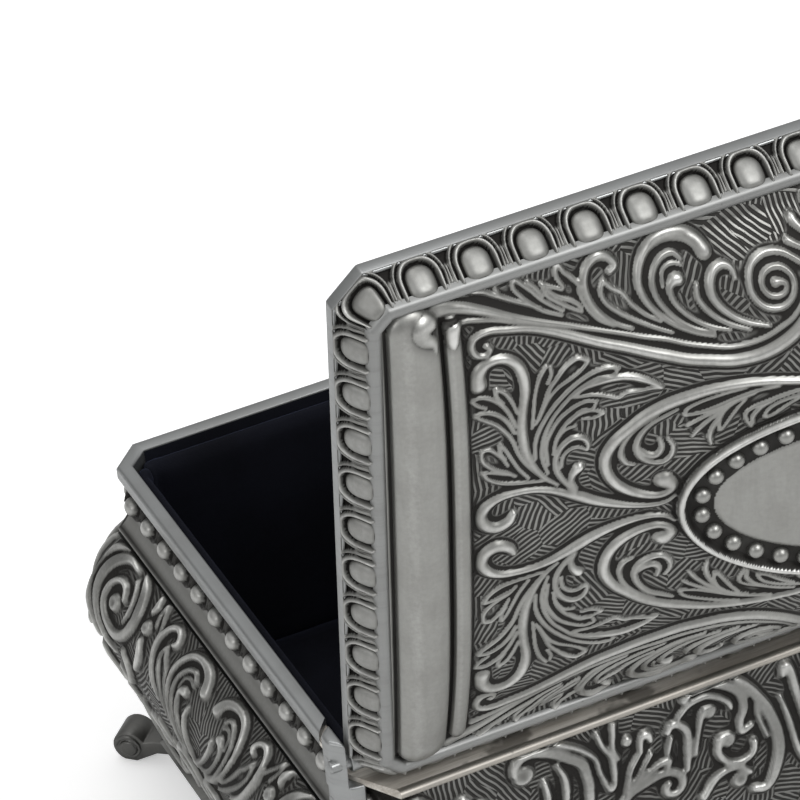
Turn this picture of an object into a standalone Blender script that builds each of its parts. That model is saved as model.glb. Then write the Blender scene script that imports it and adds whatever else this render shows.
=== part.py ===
import math

import bmesh
import bpy
from mathutils import Matrix, Vector

# Cast trinket box with a domed lid, four scroll feet and a velvet lining.
# Metres. +Z up, front at -Y, hinge at the back (+Y), long side along X.
# The lid stands open against its stop.

for old in list(bpy.data.objects):
    bpy.data.objects.remove(old, do_unlink=True)
for old in list(bpy.data.meshes):
    bpy.data.meshes.remove(old)
for old in list(bpy.data.materials):
    bpy.data.materials.remove(old)

# Main sizes
GAP = 0.0003
EGGS_LONG = 16
EGGS_SHORT = 10
RIM_LENGTH = 0.134
RIM_DEPTH = 0.086
RIM_HEIGHT = 0.0565
CORNER_CUT = 0.0042
EGG_END_LONG = 0.0070
EGG_END_SHORT = 0.0055
RIM_WIDTH = 0.0023
LIP_DEPTH = 0.0024
LEDGE_DROP = 0.0013
LEDGE_REACH = 0.0041
NOTCH_REACH = 0.0115
WALL = 0.0024
STAND = 0.0047
BODY_DEPTH = RIM_HEIGHT - STAND

# Distance from the rim's back edge to the middle of the open box
BACK_TO_MIDDLE = 0.03378

# Lid
LID_WALL_TOP = 0.0025
BORDER_RUN = 0.0028
BORDER_TOP = 0.00695
FILLET_WIDTH = 0.0017
FIELD_SINK = 0.0005
FIELD_INSET = BORDER_RUN + FILLET_WIDTH + 0.0005
DOME_POWER = 3.2
LID_WALL = 0.0023
LID_SKIN = 0.0020
EGG_RISE = 0.0009
WIDE_BAR = (0.0051, 0.0114, 0.0017)
NARROW_BAR = (0.0119, 0.0145, 0.0010)
OVAL_HALF_LONG = 0.0262
OVAL_HALF_SHORT = 0.0148
OVAL_BAND = 0.0012
OVAL_RISE = 0.0009
OVAL_SINK = 0.0006

# Hinge
HINGE_IN = 0.0024
HINGE_UP = 0.0015
OPEN_ANGLE = math.radians(97.4)
PIN_RADIUS = 0.0009
PIN_CLEARANCE = 0.0001
PIN_REACH = 0.0066
KNUCKLE_RADIUS = 0.0015
KNUCKLE_LENGTH = 0.0072
EAR_TOP = 0.0054
EAR_OUT = 0.0023
EAR_GAP = 0.00035

# Base, feet and screws
PLATE_BOTTOM = STAND + 0.0019
PLATE_THICK = 0.0016
BLOCK_BOTTOM = PLATE_BOTTOM + PLATE_THICK + GAP
BLOCK_TOP = PLATE_BOTTOM + 0.0064
BLOCK_WIDTH = 0.0056
SCREW_IN = 0.0072
SCREW_RADIUS = 0.00105
SCREW_HOLE = 0.00115
SCREW_HEAD_RADIUS = 0.0019
SCREW_HEAD = 0.0013
FOOT_WIDTH = 0.0050
TOE_OUT = 0.00155
TOE_RADIUS = 0.0027
TOE_UP = 0.0025
PAD_THICK = 0.0020

# Lining
CARD = 0.0015
VELVET = 0.0015
FLOOR_LEVEL = BLOCK_TOP + GAP
STRIP_INSET = RIM_WIDTH + 0.00035
STRIP_THICK = 0.0015
STRIP_BELOW_RIM = 0.0018
CROWN = 0.0012

HALF_LENGTH = RIM_LENGTH / 2
FRONT = -RIM_DEPTH
MIDDLE = -RIM_DEPTH / 2
ROOT2 = math.sqrt(2.0)


# Materials
def make_material(name, colour, metallic, roughness):
    mat = bpy.data.materials.new(name)
    mat.use_nodes = True
    shader = mat.node_tree.nodes["Principled BSDF"]
    shader.inputs["Base Color"].default_value = (*colour, 1.0)
    shader.inputs["Metallic"].default_value = metallic
    shader.inputs["Roughness"].default_value = roughness
    return mat


# Mesh helpers
def add_object(name, bm, colour, metallic=1.0, roughness=0.4, smooth=35.0):
    bmesh.ops.recalc_face_normals(bm, faces=bm.faces)
    if bm.calc_volume(signed=True) < 0:
        bmesh.ops.reverse_faces(bm, faces=bm.faces)
    mesh = bpy.data.meshes.new(name)
    bm.to_mesh(mesh)
    bm.free()
    obj = bpy.data.objects.new(name, mesh)
    bpy.context.scene.collection.objects.link(obj)
    obj.data.materials.append(make_material(name, colour, metallic, roughness))
    if smooth:
        for poly in mesh.polygons:
            poly.use_smooth = True
        mesh.set_sharp_from_angle(angle=math.radians(smooth))
    return obj


def add_loop(bm, points):
    return [bm.verts.new(p) for p in points]


def join_loops(bm, lower, upper):
    count = len(lower)
    for k in range(count):
        nxt = (k + 1) % count
        bm.faces.new((lower[k], lower[nxt], upper[nxt], upper[k]))


def zip_loops(bm, first, second):
    """Joins two closed loops of different counts with triangles, by the shorter side."""
    start = min(range(len(second)), key=lambda k: (second[k].co - first[0].co).length)
    second = second[start:] + second[:start + 1]
    first = first + first[:1]
    a = b = 0
    while a < len(first) - 1 or b < len(second) - 1:
        if a == len(first) - 1 or b == len(second) - 1:
            step_a = b == len(second) - 1
        else:
            along_first = (first[a + 1].co - second[b].co).length
            step_a = along_first <= (second[b + 1].co - first[a].co).length
        if step_a:
            bm.faces.new((first[a], first[a + 1], second[b]))
            a += 1
        else:
            bm.faces.new((first[a], second[b + 1], second[b]))
            b += 1


def spread(a, b, count):
    return [a + (b - a) * k / count for k in range(count)]


def cut_ring(x_half, y_front, y_back, cut, back_cut=None, per_long=6, per_short=4):
    """A rectangle with cut corners, anticlockwise from the front left."""
    bx, by = back_cut if back_cut else (cut, cut)
    corners = [
        ((-x_half + cut, y_front), (x_half - cut, y_front), per_long),
        ((x_half - cut, y_front), (x_half, y_front + cut), 1),
        ((x_half, y_front + cut), (x_half, y_back - by), per_short),
        ((x_half, y_back - by), (x_half - bx, y_back), 1),
        ((x_half - bx, y_back), (-x_half + bx, y_back), per_long),
        ((-x_half + bx, y_back), (-x_half, y_back - by), 1),
        ((-x_half, y_back - by), (-x_half, y_front + cut), per_short),
        ((-x_half, y_front + cut), (-x_half + cut, y_front), 1),
    ]
    points = []
    for start, end, count in corners:
        points += list(zip(spread(start[0], end[0], count), spread(start[1], end[1], count)))
    return points


def curve_through(points, samples):
    """Catmull-Rom samples through (depth, offset) pairs."""
    out = []
    for k in range(len(points) - 1):
        p0 = points[max(k - 1, 0)]
        p1, p2 = points[k], points[k + 1]
        p3 = points[min(k + 2, len(points) - 1)]
        for s in range(samples):
            t = s / samples
            out.append(tuple(
                0.5 * (2 * p1[i] + (p2[i] - p0[i]) * t
                       + (2 * p0[i] - 5 * p1[i] + 4 * p2[i] - p3[i]) * t * t
                       + (3 * p1[i] - p0[i] - 3 * p2[i] + p3[i]) * t ** 3)
                for i in range(2)))
    out.append(points[-1])
    return out


def value_at(points, depth):
    if depth <= points[0][0]:
        return points[0][1]
    for (d0, v0), (d1, v1) in zip(points, points[1:]):
        if depth <= d1:
            return v0 + (v1 - v0) * (depth - d0) / (d1 - d0)
    return points[-1][1]


def combine(target, tool, operation):
    """Applies a Boolean of the tool to the target and removes the tool."""
    mod = target.modifiers.new(operation.lower(), "BOOLEAN")
    mod.operation = operation
    mod.solver = "EXACT"
    mod.object = tool
    tool.hide_render = True
    tool.display_type = "WIRE"
    graph = bpy.context.evaluated_depsgraph_get()
    graph.update()
    mesh = bpy.data.meshes.new_from_object(target.evaluated_get(graph))
    target.modifiers.clear()
    target.data = mesh
    bpy.data.objects.remove(tool, do_unlink=True)


def prism(name, outline, z0, z1):
    bm = bmesh.new()
    low = add_loop(bm, [(x, y, z0) for x, y in outline])
    high = add_loop(bm, [(x, y, z1) for x, y in outline])
    join_loops(bm, low, high)
    bm.faces.new(list(reversed(low)))
    bm.faces.new(high)
    return add_object(name, bm, (0.5, 0.5, 0.5), smooth=0)


def rod(name, start, end, radius, sides=24, colour=(0.5, 0.5, 0.48), dome=0.0):
    """A round rod from start to end; dome rounds its far end."""
    start, end = Vector(start), Vector(end)
    axis = (end - start).normalized()
    turn = axis.to_track_quat("Z", "Y").to_matrix()
    stations = [(0.0, radius)]
    length = (end - start).length
    if dome:
        for k in range(4):
            a = math.radians(22.5 * k)
            stations.append((length - dome + dome * math.sin(a), radius * math.cos(a)))
    else:
        stations.append((length, radius))
    bm = bmesh.new()
    loops = []
    for height, r in stations:
        ring = []
        for k in range(sides):
            a = 2 * math.pi * (k + 0.5) / sides
            ring.append(start + turn @ Vector((r * math.cos(a), r * math.sin(a), height)))
        loops.append(add_loop(bm, ring))
    for low, high in zip(loops, loops[1:]):
        join_loops(bm, low, high)
    bm.faces.new(list(reversed(loops[0])))
    bm.faces.new(loops[-1])
    return add_object(name, bm, colour)


# Body shell: lip, neck for the egg moulding, cove, bead line and the swelling wall
NECK = [
    (0.0, -0.0003),
    (0.0003, 0.0),
    (LIP_DEPTH, 0.0),
    (0.0028, -0.0013),
    (0.0045, -0.0009),
    (0.0066, -0.0004),
    (0.0077, -0.0012),
    (0.0092, -0.0006),
    (0.0105, 0.0001),
    (0.0109, 0.0008),
    (0.0116, 0.0007),
]
SWELL_TOP = 0.0119
SWELL_FALL = BODY_DEPTH - SWELL_TOP
SWELL = [
    (SWELL_TOP, 0.0010),
    (SWELL_TOP + 0.105 * SWELL_FALL, 0.0048),
    (SWELL_TOP + 0.216 * SWELL_FALL, 0.0070),
    (SWELL_TOP + 0.328 * SWELL_FALL, 0.0075),
    (SWELL_TOP + 0.461 * SWELL_FALL, 0.0064),
    (SWELL_TOP + 0.652 * SWELL_FALL, 0.0034),
    (SWELL_TOP + 0.840 * SWELL_FALL, 0.0010),
    (BODY_DEPTH, -0.0008),
]
BACK_SWELL = [
    (0.0, LEDGE_REACH),
    (0.0030, LEDGE_REACH + 0.0003),
    (0.0109, 0.0052),
    (SWELL[1][0], 0.0062),
    (SWELL[2][0], 0.0072),
    SWELL[3],
]
NECK_INNER = 0.0112


def back_offset(depth, side):
    return value_at(BACK_SWELL, depth) if depth < BACK_SWELL[-1][0] else side


def shell_ring(depth, side, back, inner=False):
    z = RIM_HEIGHT - depth
    cut = CORNER_CUT + (2 - ROOT2) * side
    if inner:
        back_cut = (cut, cut)
    else:
        back_cut = (0.0046, 0.0034 + max(back, 0.0))
    ring = cut_ring(HALF_LENGTH + side, FRONT - side, back, cut, back_cut)
    return [(x, y, z) for x, y in ring]


def ear_outline(inner_x):
    """The hinge ear's plan at the right end, from its front foot round to the back."""
    end = HALF_LENGTH
    return [
        (end + inner_x, -0.0064),
        (end + EAR_GAP, -0.0066),
        (end + EAR_OUT, -0.0049),
        (end + EAR_OUT, -0.0029),
        (end + EAR_GAP, -0.0009),
        (end + inner_x, -0.0009),
    ]


def build_body_shell():
    outer = list(NECK) + curve_through(SWELL, 2)
    inner = [(BODY_DEPTH, value_at(SWELL, BODY_DEPTH) - WALL)]
    for depth, side in reversed(SWELL[1:-1]):
        inner.append((depth, side - WALL))
    inner += [(NECK_INNER, -RIM_WIDTH), (0.0, -RIM_WIDTH)]
    bm = bmesh.new()
    loops = []
    for depth, side in outer:
        loops.append(add_loop(bm, shell_ring(depth, side, back_offset(depth, side))))
    for depth, side in inner:
        back = side if depth >= SWELL[1][0] else -RIM_WIDTH
        loops.append(add_loop(bm, shell_ring(depth, side, back, inner=True)))
    for k in range(len(loops)):
        join_loops(bm, loops[k], loops[(k + 1) % len(loops)])
    shell = add_object("body_shell", bm, (0.36, 0.36, 0.34), 1.0, 0.38)
    cut_rim_at_the_back(shell)
    for side in (1, -1):
        add_hinge_ear(shell, side)
    for x_sign in (1, -1):
        for y_end in (0, 1):
            add_screw_block(shell, x_sign, y_end)
    return shell


def cut_rim_at_the_back(shell):
    reach = HALF_LENGTH + 0.02
    mitre = 0.0028
    outline = [
        (-reach, -NOTCH_REACH + 0.02 * mitre),
        (-HALF_LENGTH, -NOTCH_REACH),
        (-HALF_LENGTH + RIM_WIDTH, -NOTCH_REACH - mitre),
        (HALF_LENGTH - RIM_WIDTH, -NOTCH_REACH - mitre),
        (HALF_LENGTH, -NOTCH_REACH),
        (reach, -NOTCH_REACH + 0.02 * mitre),
        (reach, 0.02),
        (-reach, 0.02),
    ]
    tool = prism("notch", outline, RIM_HEIGHT - LEDGE_DROP, RIM_HEIGHT + 0.01)
    combine(shell, tool, "DIFFERENCE")


def mirrored(outline, side):
    points = [(side * x, y) for x, y in outline]
    return points if side > 0 else list(reversed(points))


def add_hinge_ear(shell, side):
    upper = mirrored(ear_outline(EAR_GAP)[1:5], side)
    combine(shell, prism("ear", upper, RIM_HEIGHT - 0.0022, RIM_HEIGHT + EAR_TOP), "UNION")
    lower = mirrored(ear_outline(-0.0018), side)
    combine(shell, prism("ear_root", lower, RIM_HEIGHT - 0.0135, RIM_HEIGHT - 0.0017), "UNION")
    z = RIM_HEIGHT + HINGE_UP
    start = (side * (HALF_LENGTH - 0.001), -HINGE_IN, z)
    end = (side * (HALF_LENGTH + 0.004), -HINGE_IN, z)
    combine(shell, rod("bore", start, end, PIN_RADIUS + PIN_CLEARANCE), "DIFFERENCE")


def corner_point(x_sign, y_end, outward):
    """A point on a corner's diagonal; outward is measured from the rim's square corner."""
    step = outward / ROOT2
    y = (0.0 + step) if y_end else (FRONT - step)
    return x_sign * (HALF_LENGTH + step), y


def diagonal_box(x_sign, y_end, inner, outer, width):
    ax, ay = corner_point(x_sign, y_end, inner)
    bx, by = corner_point(x_sign, y_end, outer)
    along = Vector((bx - ax, by - ay)).normalized()
    side = Vector((-along.y, along.x)) * width / 2
    return [(ax - side.x, ay - side.y), (bx - side.x, by - side.y),
            (bx + side.x, by + side.y), (ax + side.x, ay + side.y)]


def add_screw_block(shell, x_sign, y_end):
    outline = diagonal_box(x_sign, y_end, -0.0130, -0.0040, BLOCK_WIDTH)
    combine(shell, prism("block", outline, BLOCK_BOTTOM, BLOCK_TOP), "UNION")
    x, y = corner_point(x_sign, y_end, -SCREW_IN * ROOT2)
    tool = rod("hole", (x, y, BLOCK_BOTTOM - 0.001), (x, y, BLOCK_TOP - 0.0008), SCREW_HOLE, 16)
    combine(shell, tool, "DIFFERENCE")


# Base plate, feet and screws
def build_base_plate():
    inset = WALL + 0.0009
    outline = cut_ring(HALF_LENGTH - inset, FRONT + inset, -inset,
                       CORNER_CUT - (2 - ROOT2) * inset + 0.0004)
    plate = prism("base_plate", outline, PLATE_BOTTOM, PLATE_BOTTOM + PLATE_THICK)
    for x_sign in (1, -1):
        for y_end in (0, 1):
            x, y = corner_point(x_sign, y_end, -SCREW_IN * ROOT2)
            tool = rod("hole", (x, y, 0.0), (x, y, BLOCK_TOP), SCREW_HOLE + 0.0002, 16)
            combine(plate, tool, "DIFFERENCE")
    plate.data.materials.clear()
    plate.data.materials.append(make_material("base_plate", (0.30, 0.30, 0.29), 1.0, 0.5))
    return plate


def foot_profile():
    """The scroll foot's side outline as (outward, height), from the pad round the toe."""
    pad_top = PLATE_BOTTOM - GAP
    under = RIM_HEIGHT - BODY_DEPTH - GAP
    points = [(-0.0130, pad_top), (-0.0070, pad_top), (-0.0070, under), (-0.0026, under)]
    flat_at = math.asin(TOE_UP / TOE_RADIUS)
    start, stop = math.radians(152), -flat_at
    for k in range(17):
        a = start + (stop - start) * k / 16
        out = TOE_OUT + TOE_RADIUS * math.cos(a)
        points.append((out, max(TOE_UP + TOE_RADIUS * math.sin(a), 0.0)))
    points.append((TOE_OUT - TOE_RADIUS * math.cos(flat_at), 0.0))
    points += [(-0.0030, 0.0021), (-0.0060, 0.0024), (-0.0079, 0.0028),
               (-0.0079, pad_top - PAD_THICK), (-0.0130, pad_top - PAD_THICK)]
    return points


def build_foot(name, x_sign, y_end):
    profile = foot_profile()
    ax, ay = corner_point(x_sign, y_end, 0.0)
    bx, by = corner_point(x_sign, y_end, 0.01)
    along = Vector((bx - ax, by - ay, 0.0)).normalized()
    across = Vector((-along.y, along.x, 0.0))
    bm = bmesh.new()
    loops = []
    for offset in (-0.5, 0.5):
        loops.append(add_loop(bm, [
            Vector((ax, ay, up)) + along * out + across * FOOT_WIDTH * offset
            for out, up in profile]))
    join_loops(bm, loops[0], loops[1])
    bm.faces.new(list(reversed(loops[0])))
    bm.faces.new(loops[1])
    foot = add_object(name, bm, (0.36, 0.36, 0.34), 1.0, 0.38)
    centre = Vector((ax, ay, TOE_UP)) + along * TOE_OUT
    for sign in (1, -1):
        start = centre + across * sign * (FOOT_WIDTH / 2 - 0.0006)
        end = centre + across * sign * (FOOT_WIDTH / 2 + 0.0005)
        combine(foot, rod("eye", start, end, 0.0013, 16), "UNION")
    x, y = corner_point(x_sign, y_end, -SCREW_IN * ROOT2)
    tool = rod("hole", (x, y, 0.0), (x, y, BLOCK_TOP), SCREW_HOLE + 0.0002, 16)
    combine(foot, tool, "DIFFERENCE")
    return foot


def build_foot_screw(name, x_sign, y_end):
    x, y = corner_point(x_sign, y_end, -SCREW_IN * ROOT2)
    top = PLATE_BOTTOM - GAP - PAD_THICK - GAP
    bm = bmesh.new()
    stations = [(top - SCREW_HEAD, SCREW_HEAD_RADIUS * 0.72),
                (top - SCREW_HEAD * 0.55, SCREW_HEAD_RADIUS),
                (top, SCREW_HEAD_RADIUS), (top, SCREW_RADIUS),
                (BLOCK_TOP - 0.0020, SCREW_RADIUS), (BLOCK_TOP - 0.0013, SCREW_RADIUS * 0.5)]
    loops = []
    for z, r in stations:
        loops.append(add_loop(bm, [
            (x + r * math.cos(2 * math.pi * (k + 0.5) / 16),
             y + r * math.sin(2 * math.pi * (k + 0.5) / 16), z) for k in range(16)]))
    for low, high in zip(loops, loops[1:]):
        join_loops(bm, low, high)
    bm.faces.new(list(reversed(loops[0])))
    bm.faces.new(loops[-1])
    screw = add_object(name, bm, (0.55, 0.55, 0.56), 1.0, 0.3)
    slot = [(x - 0.0025, y - 0.0003), (x + 0.0025, y - 0.0003),
            (x + 0.0025, y + 0.0003), (x - 0.0025, y + 0.0003)]
    combine(screw, prism("slot", slot, top - 0.002, top - SCREW_HEAD + 0.0006), "DIFFERENCE")
    return screw


# Lid shell, drawn closed and then turned open about the hinge
CREST = [
    (BORDER_RUN + 0.0013, BORDER_TOP),
    (0.0075, 0.0086),
    (0.0120, 0.0099),
    (0.0180, 0.0109),
    (0.0260, 0.0123),
    (0.0340, 0.0143),
    (0.0420, 0.0169),
    (0.0500, 0.0197),
    (0.0580, 0.0221),
    (HALF_LENGTH, 0.0232),
]


def dome_height(x, v):
    """Height of the lid's plain surface above the rim, v measured from the hinge side."""
    half_width = RIM_DEPTH / 2 - CREST[0][0]
    up = min(abs(v - RIM_DEPTH / 2) / half_width, 1.0)
    rise = value_at(CREST_LINE, HALF_LENGTH - abs(x)) - BORDER_TOP
    return BORDER_TOP + rise * (1 - up ** DOME_POWER)


CREST_LINE = curve_through(CREST, 4)


def bar_height(x, bar):
    start, end, rise = bar
    middle = HALF_LENGTH - (start + end) / 2
    u = (abs(x) - middle) / ((end - start) / 2)
    return rise * math.sqrt(1 - u * u) if abs(u) < 1 else 0.0


def field_height(x, v):
    bars = max(bar_height(x, WIDE_BAR), bar_height(x, NARROW_BAR))
    edge = min(v, RIM_DEPTH - v) - FIELD_INSET
    fade = min(max(edge / 0.0012, 0.0), 1.0)
    return dome_height(x, v) - FIELD_SINK + bars * fade


def lid_ring(inset, height, per_long=6, per_short=4):
    cut = CORNER_CUT - (2 - ROOT2) * inset
    ring = cut_ring(HALF_LENGTH - inset, FRONT + inset, -inset, cut,
                    per_long=per_long, per_short=per_short)
    return [(x, y, RIM_HEIGHT + height) for x, y in ring]


def border_stations(inset):
    """Six stations to an egg round the border: plan point, outward normal, egg phase."""
    x_half, y_low, y_high = HALF_LENGTH - inset, FRONT + inset, -inset
    cut = CORNER_CUT - (2 - ROOT2) * inset
    long_end = HALF_LENGTH - EGG_END_LONG
    short_end = RIM_DEPTH / 2 - EGG_END_SHORT
    per_egg = 6
    stations = []

    def side(ax, ay, bx, by, normal, eggs):
        count = eggs * per_egg
        for k in range(count):
            t = k / count
            phase = ((k % per_egg) / per_egg) - 0.5
            stations.append((ax + (bx - ax) * t, ay + (by - ay) * t, normal, phase))

    def corner(points, n0, n1):
        lengths = [math.dist(a, b) for a, b in zip(points, points[1:])]
        total = sum(lengths)
        count = 8
        for k in range(count):
            s = total * k / count
            for (a, b), length in zip(zip(points, points[1:]), lengths):
                if s <= length:
                    break
                s -= length
            t = s / length if length else 0.0
            blend = k / count
            n = Vector(n0).lerp(Vector(n1), blend).normalized()
            stations.append((a[0] + (b[0] - a[0]) * t, a[1] + (b[1] - a[1]) * t,
                             (n.x, n.y), blend - 0.5))

    low, high = MIDDLE - short_end, MIDDLE + short_end
    side(-long_end, y_low, long_end, y_low, (0, -1), EGGS_LONG)
    corner([(long_end, y_low), (x_half - cut, y_low), (x_half, y_low + cut), (x_half, low)],
           (0, -1), (1, 0))
    side(x_half, low, x_half, high, (1, 0), EGGS_SHORT)
    corner([(x_half, high), (x_half, y_high - cut), (x_half - cut, y_high), (long_end, y_high)],
           (1, 0), (0, 1))
    side(long_end, y_high, -long_end, y_high, (0, 1), EGGS_LONG)
    corner([(-long_end, y_high), (-x_half + cut, y_high), (-x_half, y_high - cut),
            (-x_half, high)], (0, 1), (-1, 0))
    side(-x_half, high, -x_half, low, (-1, 0), EGGS_SHORT)
    corner([(-x_half, low), (-x_half, y_low + cut), (-x_half + cut, y_low), (-long_end, y_low)],
           (-1, 0), (0, -1))
    return stations


def border_ring(t, rise):
    """The egg border's ring at t from the wall's top (0) to the fillet (1)."""
    inset = BORDER_RUN * t
    height = LID_WALL_TOP + (BORDER_TOP - LID_WALL_TOP) * t
    slope = math.atan2(BORDER_TOP - LID_WALL_TOP, BORDER_RUN)
    points = []
    for x, y, normal, phase in border_stations(inset):
        u = (t - 0.45) / 0.42
        w = phase / 0.40
        bump = rise * math.sqrt(max(1 - u * u - w * w, 0.0))
        out = bump * math.sin(slope)
        up = bump * math.cos(slope)
        points.append((x + normal[0] * out, y + normal[1] * out, RIM_HEIGHT + height + up))
    return points


def field_lines():
    """Columns and rows of the lid's field grid; columns follow the bars."""
    left = [FIELD_INSET, 0.0056, 0.0068, 0.0082, 0.0097, 0.0109, 0.0114, 0.0119,
            0.0124, 0.0132, 0.0140, 0.0145, 0.0150, 0.0170, 0.0210, 0.0252, 0.0300,
            HALF_LENGTH - OVAL_HALF_LONG - 0.0028]
    columns = [-(HALF_LENGTH - d) for d in left]
    inner = spread(columns[-1], -columns[-1], 10)[1:]
    columns = columns + inner + [-c for c in reversed(columns)]
    edge = [FIELD_INSET, 0.0059, 0.0075, 0.0098, 0.0128, 0.0165, 0.0208,
            RIM_DEPTH / 2 - OVAL_HALF_SHORT - 0.0014]
    rows = edge + spread(edge[-1], RIM_DEPTH - edge[-1], 6)[1:]
    rows = rows + [RIM_DEPTH - r for r in reversed(edge)]
    return columns, rows


def oval_ring(shrink, lift, count=48):
    points = []
    for k in range(count):
        a = 2 * math.pi * k / count
        x = (OVAL_HALF_LONG - shrink) * math.cos(a)
        v = RIM_DEPTH / 2 - (OVAL_HALF_SHORT - shrink) * math.sin(a)
        points.append((x, -v, RIM_HEIGHT + dome_height(x, v) - FIELD_SINK + lift))
    return points


def close_oval(bm, edge):
    """Closes the sunk oval field with rings that shrink towards its middle."""
    middle = Vector((0.0, MIDDLE, 0.0))
    last = edge
    for part in (0.72, 0.42, 0.16):
        ring = []
        for vert in edge:
            flat = middle + (Vector((vert.co.x, vert.co.y, 0.0)) - middle) * part
            z = RIM_HEIGHT + dome_height(flat.x, -flat.y) - FIELD_SINK - OVAL_SINK
            ring.append((flat.x, flat.y, z))
        loop = add_loop(bm, ring)
        join_loops(bm, last, loop)
        last = loop
    bm.faces.new(last)


def build_field(bm, columns, rows):
    """The domed field as a grid with an oval opening; returns its outer and inner loops."""
    grid = {}
    cut = CORNER_CUT - (2 - ROOT2) * FIELD_INSET
    hole_x = [k for k, x in enumerate(columns) if abs(x) < OVAL_HALF_LONG + 0.0029]
    hole_y = [k for k, v in enumerate(rows)
              if abs(v - RIM_DEPTH / 2) < OVAL_HALF_SHORT + 0.0015]
    x0, x1, y0, y1 = hole_x[0], hole_x[-1], hole_y[0], hole_y[-1]
    last_x, last_y = len(columns) - 1, len(rows) - 1
    for i, x in enumerate(columns):
        for j, v in enumerate(rows):
            if x0 < i < x1 and y0 < j < y1:
                continue
            px, pv = x, v
            if i in (0, last_x) and j in (0, last_y):
                px = x - math.copysign(cut / 4, x)
                pv = v - math.copysign(cut / 4, v - RIM_DEPTH / 2)
            grid[i, j] = bm.verts.new((px, -pv, RIM_HEIGHT + field_height(px, pv)))
    for i in range(last_x):
        for j in range(last_y):
            if x0 <= i < x1 and y0 <= j < y1:
                continue
            bm.faces.new((grid[i, j], grid[i + 1, j], grid[i + 1, j + 1], grid[i, j + 1]))

    def rim(a0, a1, b0, b1):
        loop = [grid[i, b1] for i in range(a0, a1)]
        loop += [grid[a1, j] for j in range(b1, b0, -1)]
        loop += [grid[i, b0] for i in range(a1, a0, -1)]
        loop += [grid[a0, j] for j in range(b0, b1)]
        return loop

    return rim(0, last_x, 0, last_y), rim(x0, x1, y0, y1)


def build_ceiling(bm):
    """The lid's inside surface, one skin below its outside; returns its outer loop."""
    insets = [0.0080, 0.0130, 0.0200, 0.0300, 0.0400]
    half_x = [HALF_LENGTH - inset for inset in insets] + [0.0120]
    columns = [-x for x in half_x] + [x for x in reversed(half_x)]
    half_v = insets[:4]
    rows = half_v + [RIM_DEPTH / 2] + [RIM_DEPTH - v for v in reversed(half_v)]
    grid = [[bm.verts.new((x, -v, RIM_HEIGHT + dome_height(x, v) - LID_SKIN - FIELD_SINK))
             for v in rows] for x in columns]
    for near, far in zip(grid, grid[1:]):
        for j in range(len(rows) - 1):
            bm.faces.new((near[j], far[j], far[j + 1], near[j + 1]))
    loop = [column[-1] for column in grid[:-1]] + list(reversed(grid[-1]))
    return loop[:-1] + [column[0] for column in reversed(grid)][:-1] + grid[0][:-1]


def build_lid_shell():
    bm = bmesh.new()
    bevel = 0.0006
    loops = [add_loop(bm, lid_ring(bevel, GAP)),
             add_loop(bm, lid_ring(0.0, GAP + bevel)),
             add_loop(bm, lid_ring(0.0, LID_WALL_TOP - 0.0003))]
    for a, b in zip(loops, loops[1:]):
        join_loops(bm, a, b)
    border = [add_loop(bm, border_ring(t, EGG_RISE)) for t in (0.0, 0.2, 0.38, 0.56, 0.76, 1.0)]
    zip_loops(bm, border[0], loops[-1])
    for a, b in zip(border, border[1:]):
        join_loops(bm, a, b)
    fillet = add_loop(bm, lid_ring(BORDER_RUN + 0.0003, BORDER_TOP + 0.0003, 20, 12))
    zip_loops(bm, border[-1], fillet)
    fillet_in = add_loop(bm, lid_ring(BORDER_RUN + FILLET_WIDTH, BORDER_TOP + 0.0003, 20, 12))
    join_loops(bm, fillet, fillet_in)
    columns, rows = field_lines()
    outer, hole = build_field(bm, columns, rows)
    zip_loops(bm, fillet_in, outer)
    ovals = [oval_ring(0.0, 0.0), oval_ring(0.0003, OVAL_RISE),
             oval_ring(OVAL_BAND, OVAL_RISE), oval_ring(OVAL_BAND + 0.0004, -OVAL_SINK)]
    oval_loops = [add_loop(bm, ring) for ring in ovals]
    zip_loops(bm, hole, oval_loops[0])
    for a, b in zip(oval_loops, oval_loops[1:]):
        join_loops(bm, a, b)
    close_oval(bm, oval_loops[-1])
    inside = [add_loop(bm, lid_ring(LID_WALL, GAP)), add_loop(bm, lid_ring(LID_WALL, 0.0028)),
              add_loop(bm, lid_ring(LID_WALL + 0.0022, 0.0052))]
    join_loops(bm, loops[0], inside[0])
    for a, b in zip(inside, inside[1:]):
        join_loops(bm, a, b)
    zip_loops(bm, inside[-1], build_ceiling(bm))
    lid = add_object("lid_shell", bm, (0.36, 0.36, 0.34), 1.0, 0.38)
    z = RIM_HEIGHT + HINGE_UP
    for side in (1, -1):
        start = (side * HALF_LENGTH, -HINGE_IN, z)
        end = (side * (HALF_LENGTH - KNUCKLE_LENGTH), -HINGE_IN, z)
        combine(lid, rod("knuckle", start, end, KNUCKLE_RADIUS), "UNION")
        start = (side * (HALF_LENGTH + 0.001), -HINGE_IN, z)
        end = (side * (HALF_LENGTH - KNUCKLE_LENGTH + 0.0003), -HINGE_IN, z)
        combine(lid, rod("bore", start, end, PIN_RADIUS + PIN_CLEARANCE), "DIFFERENCE")
    return lid


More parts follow.
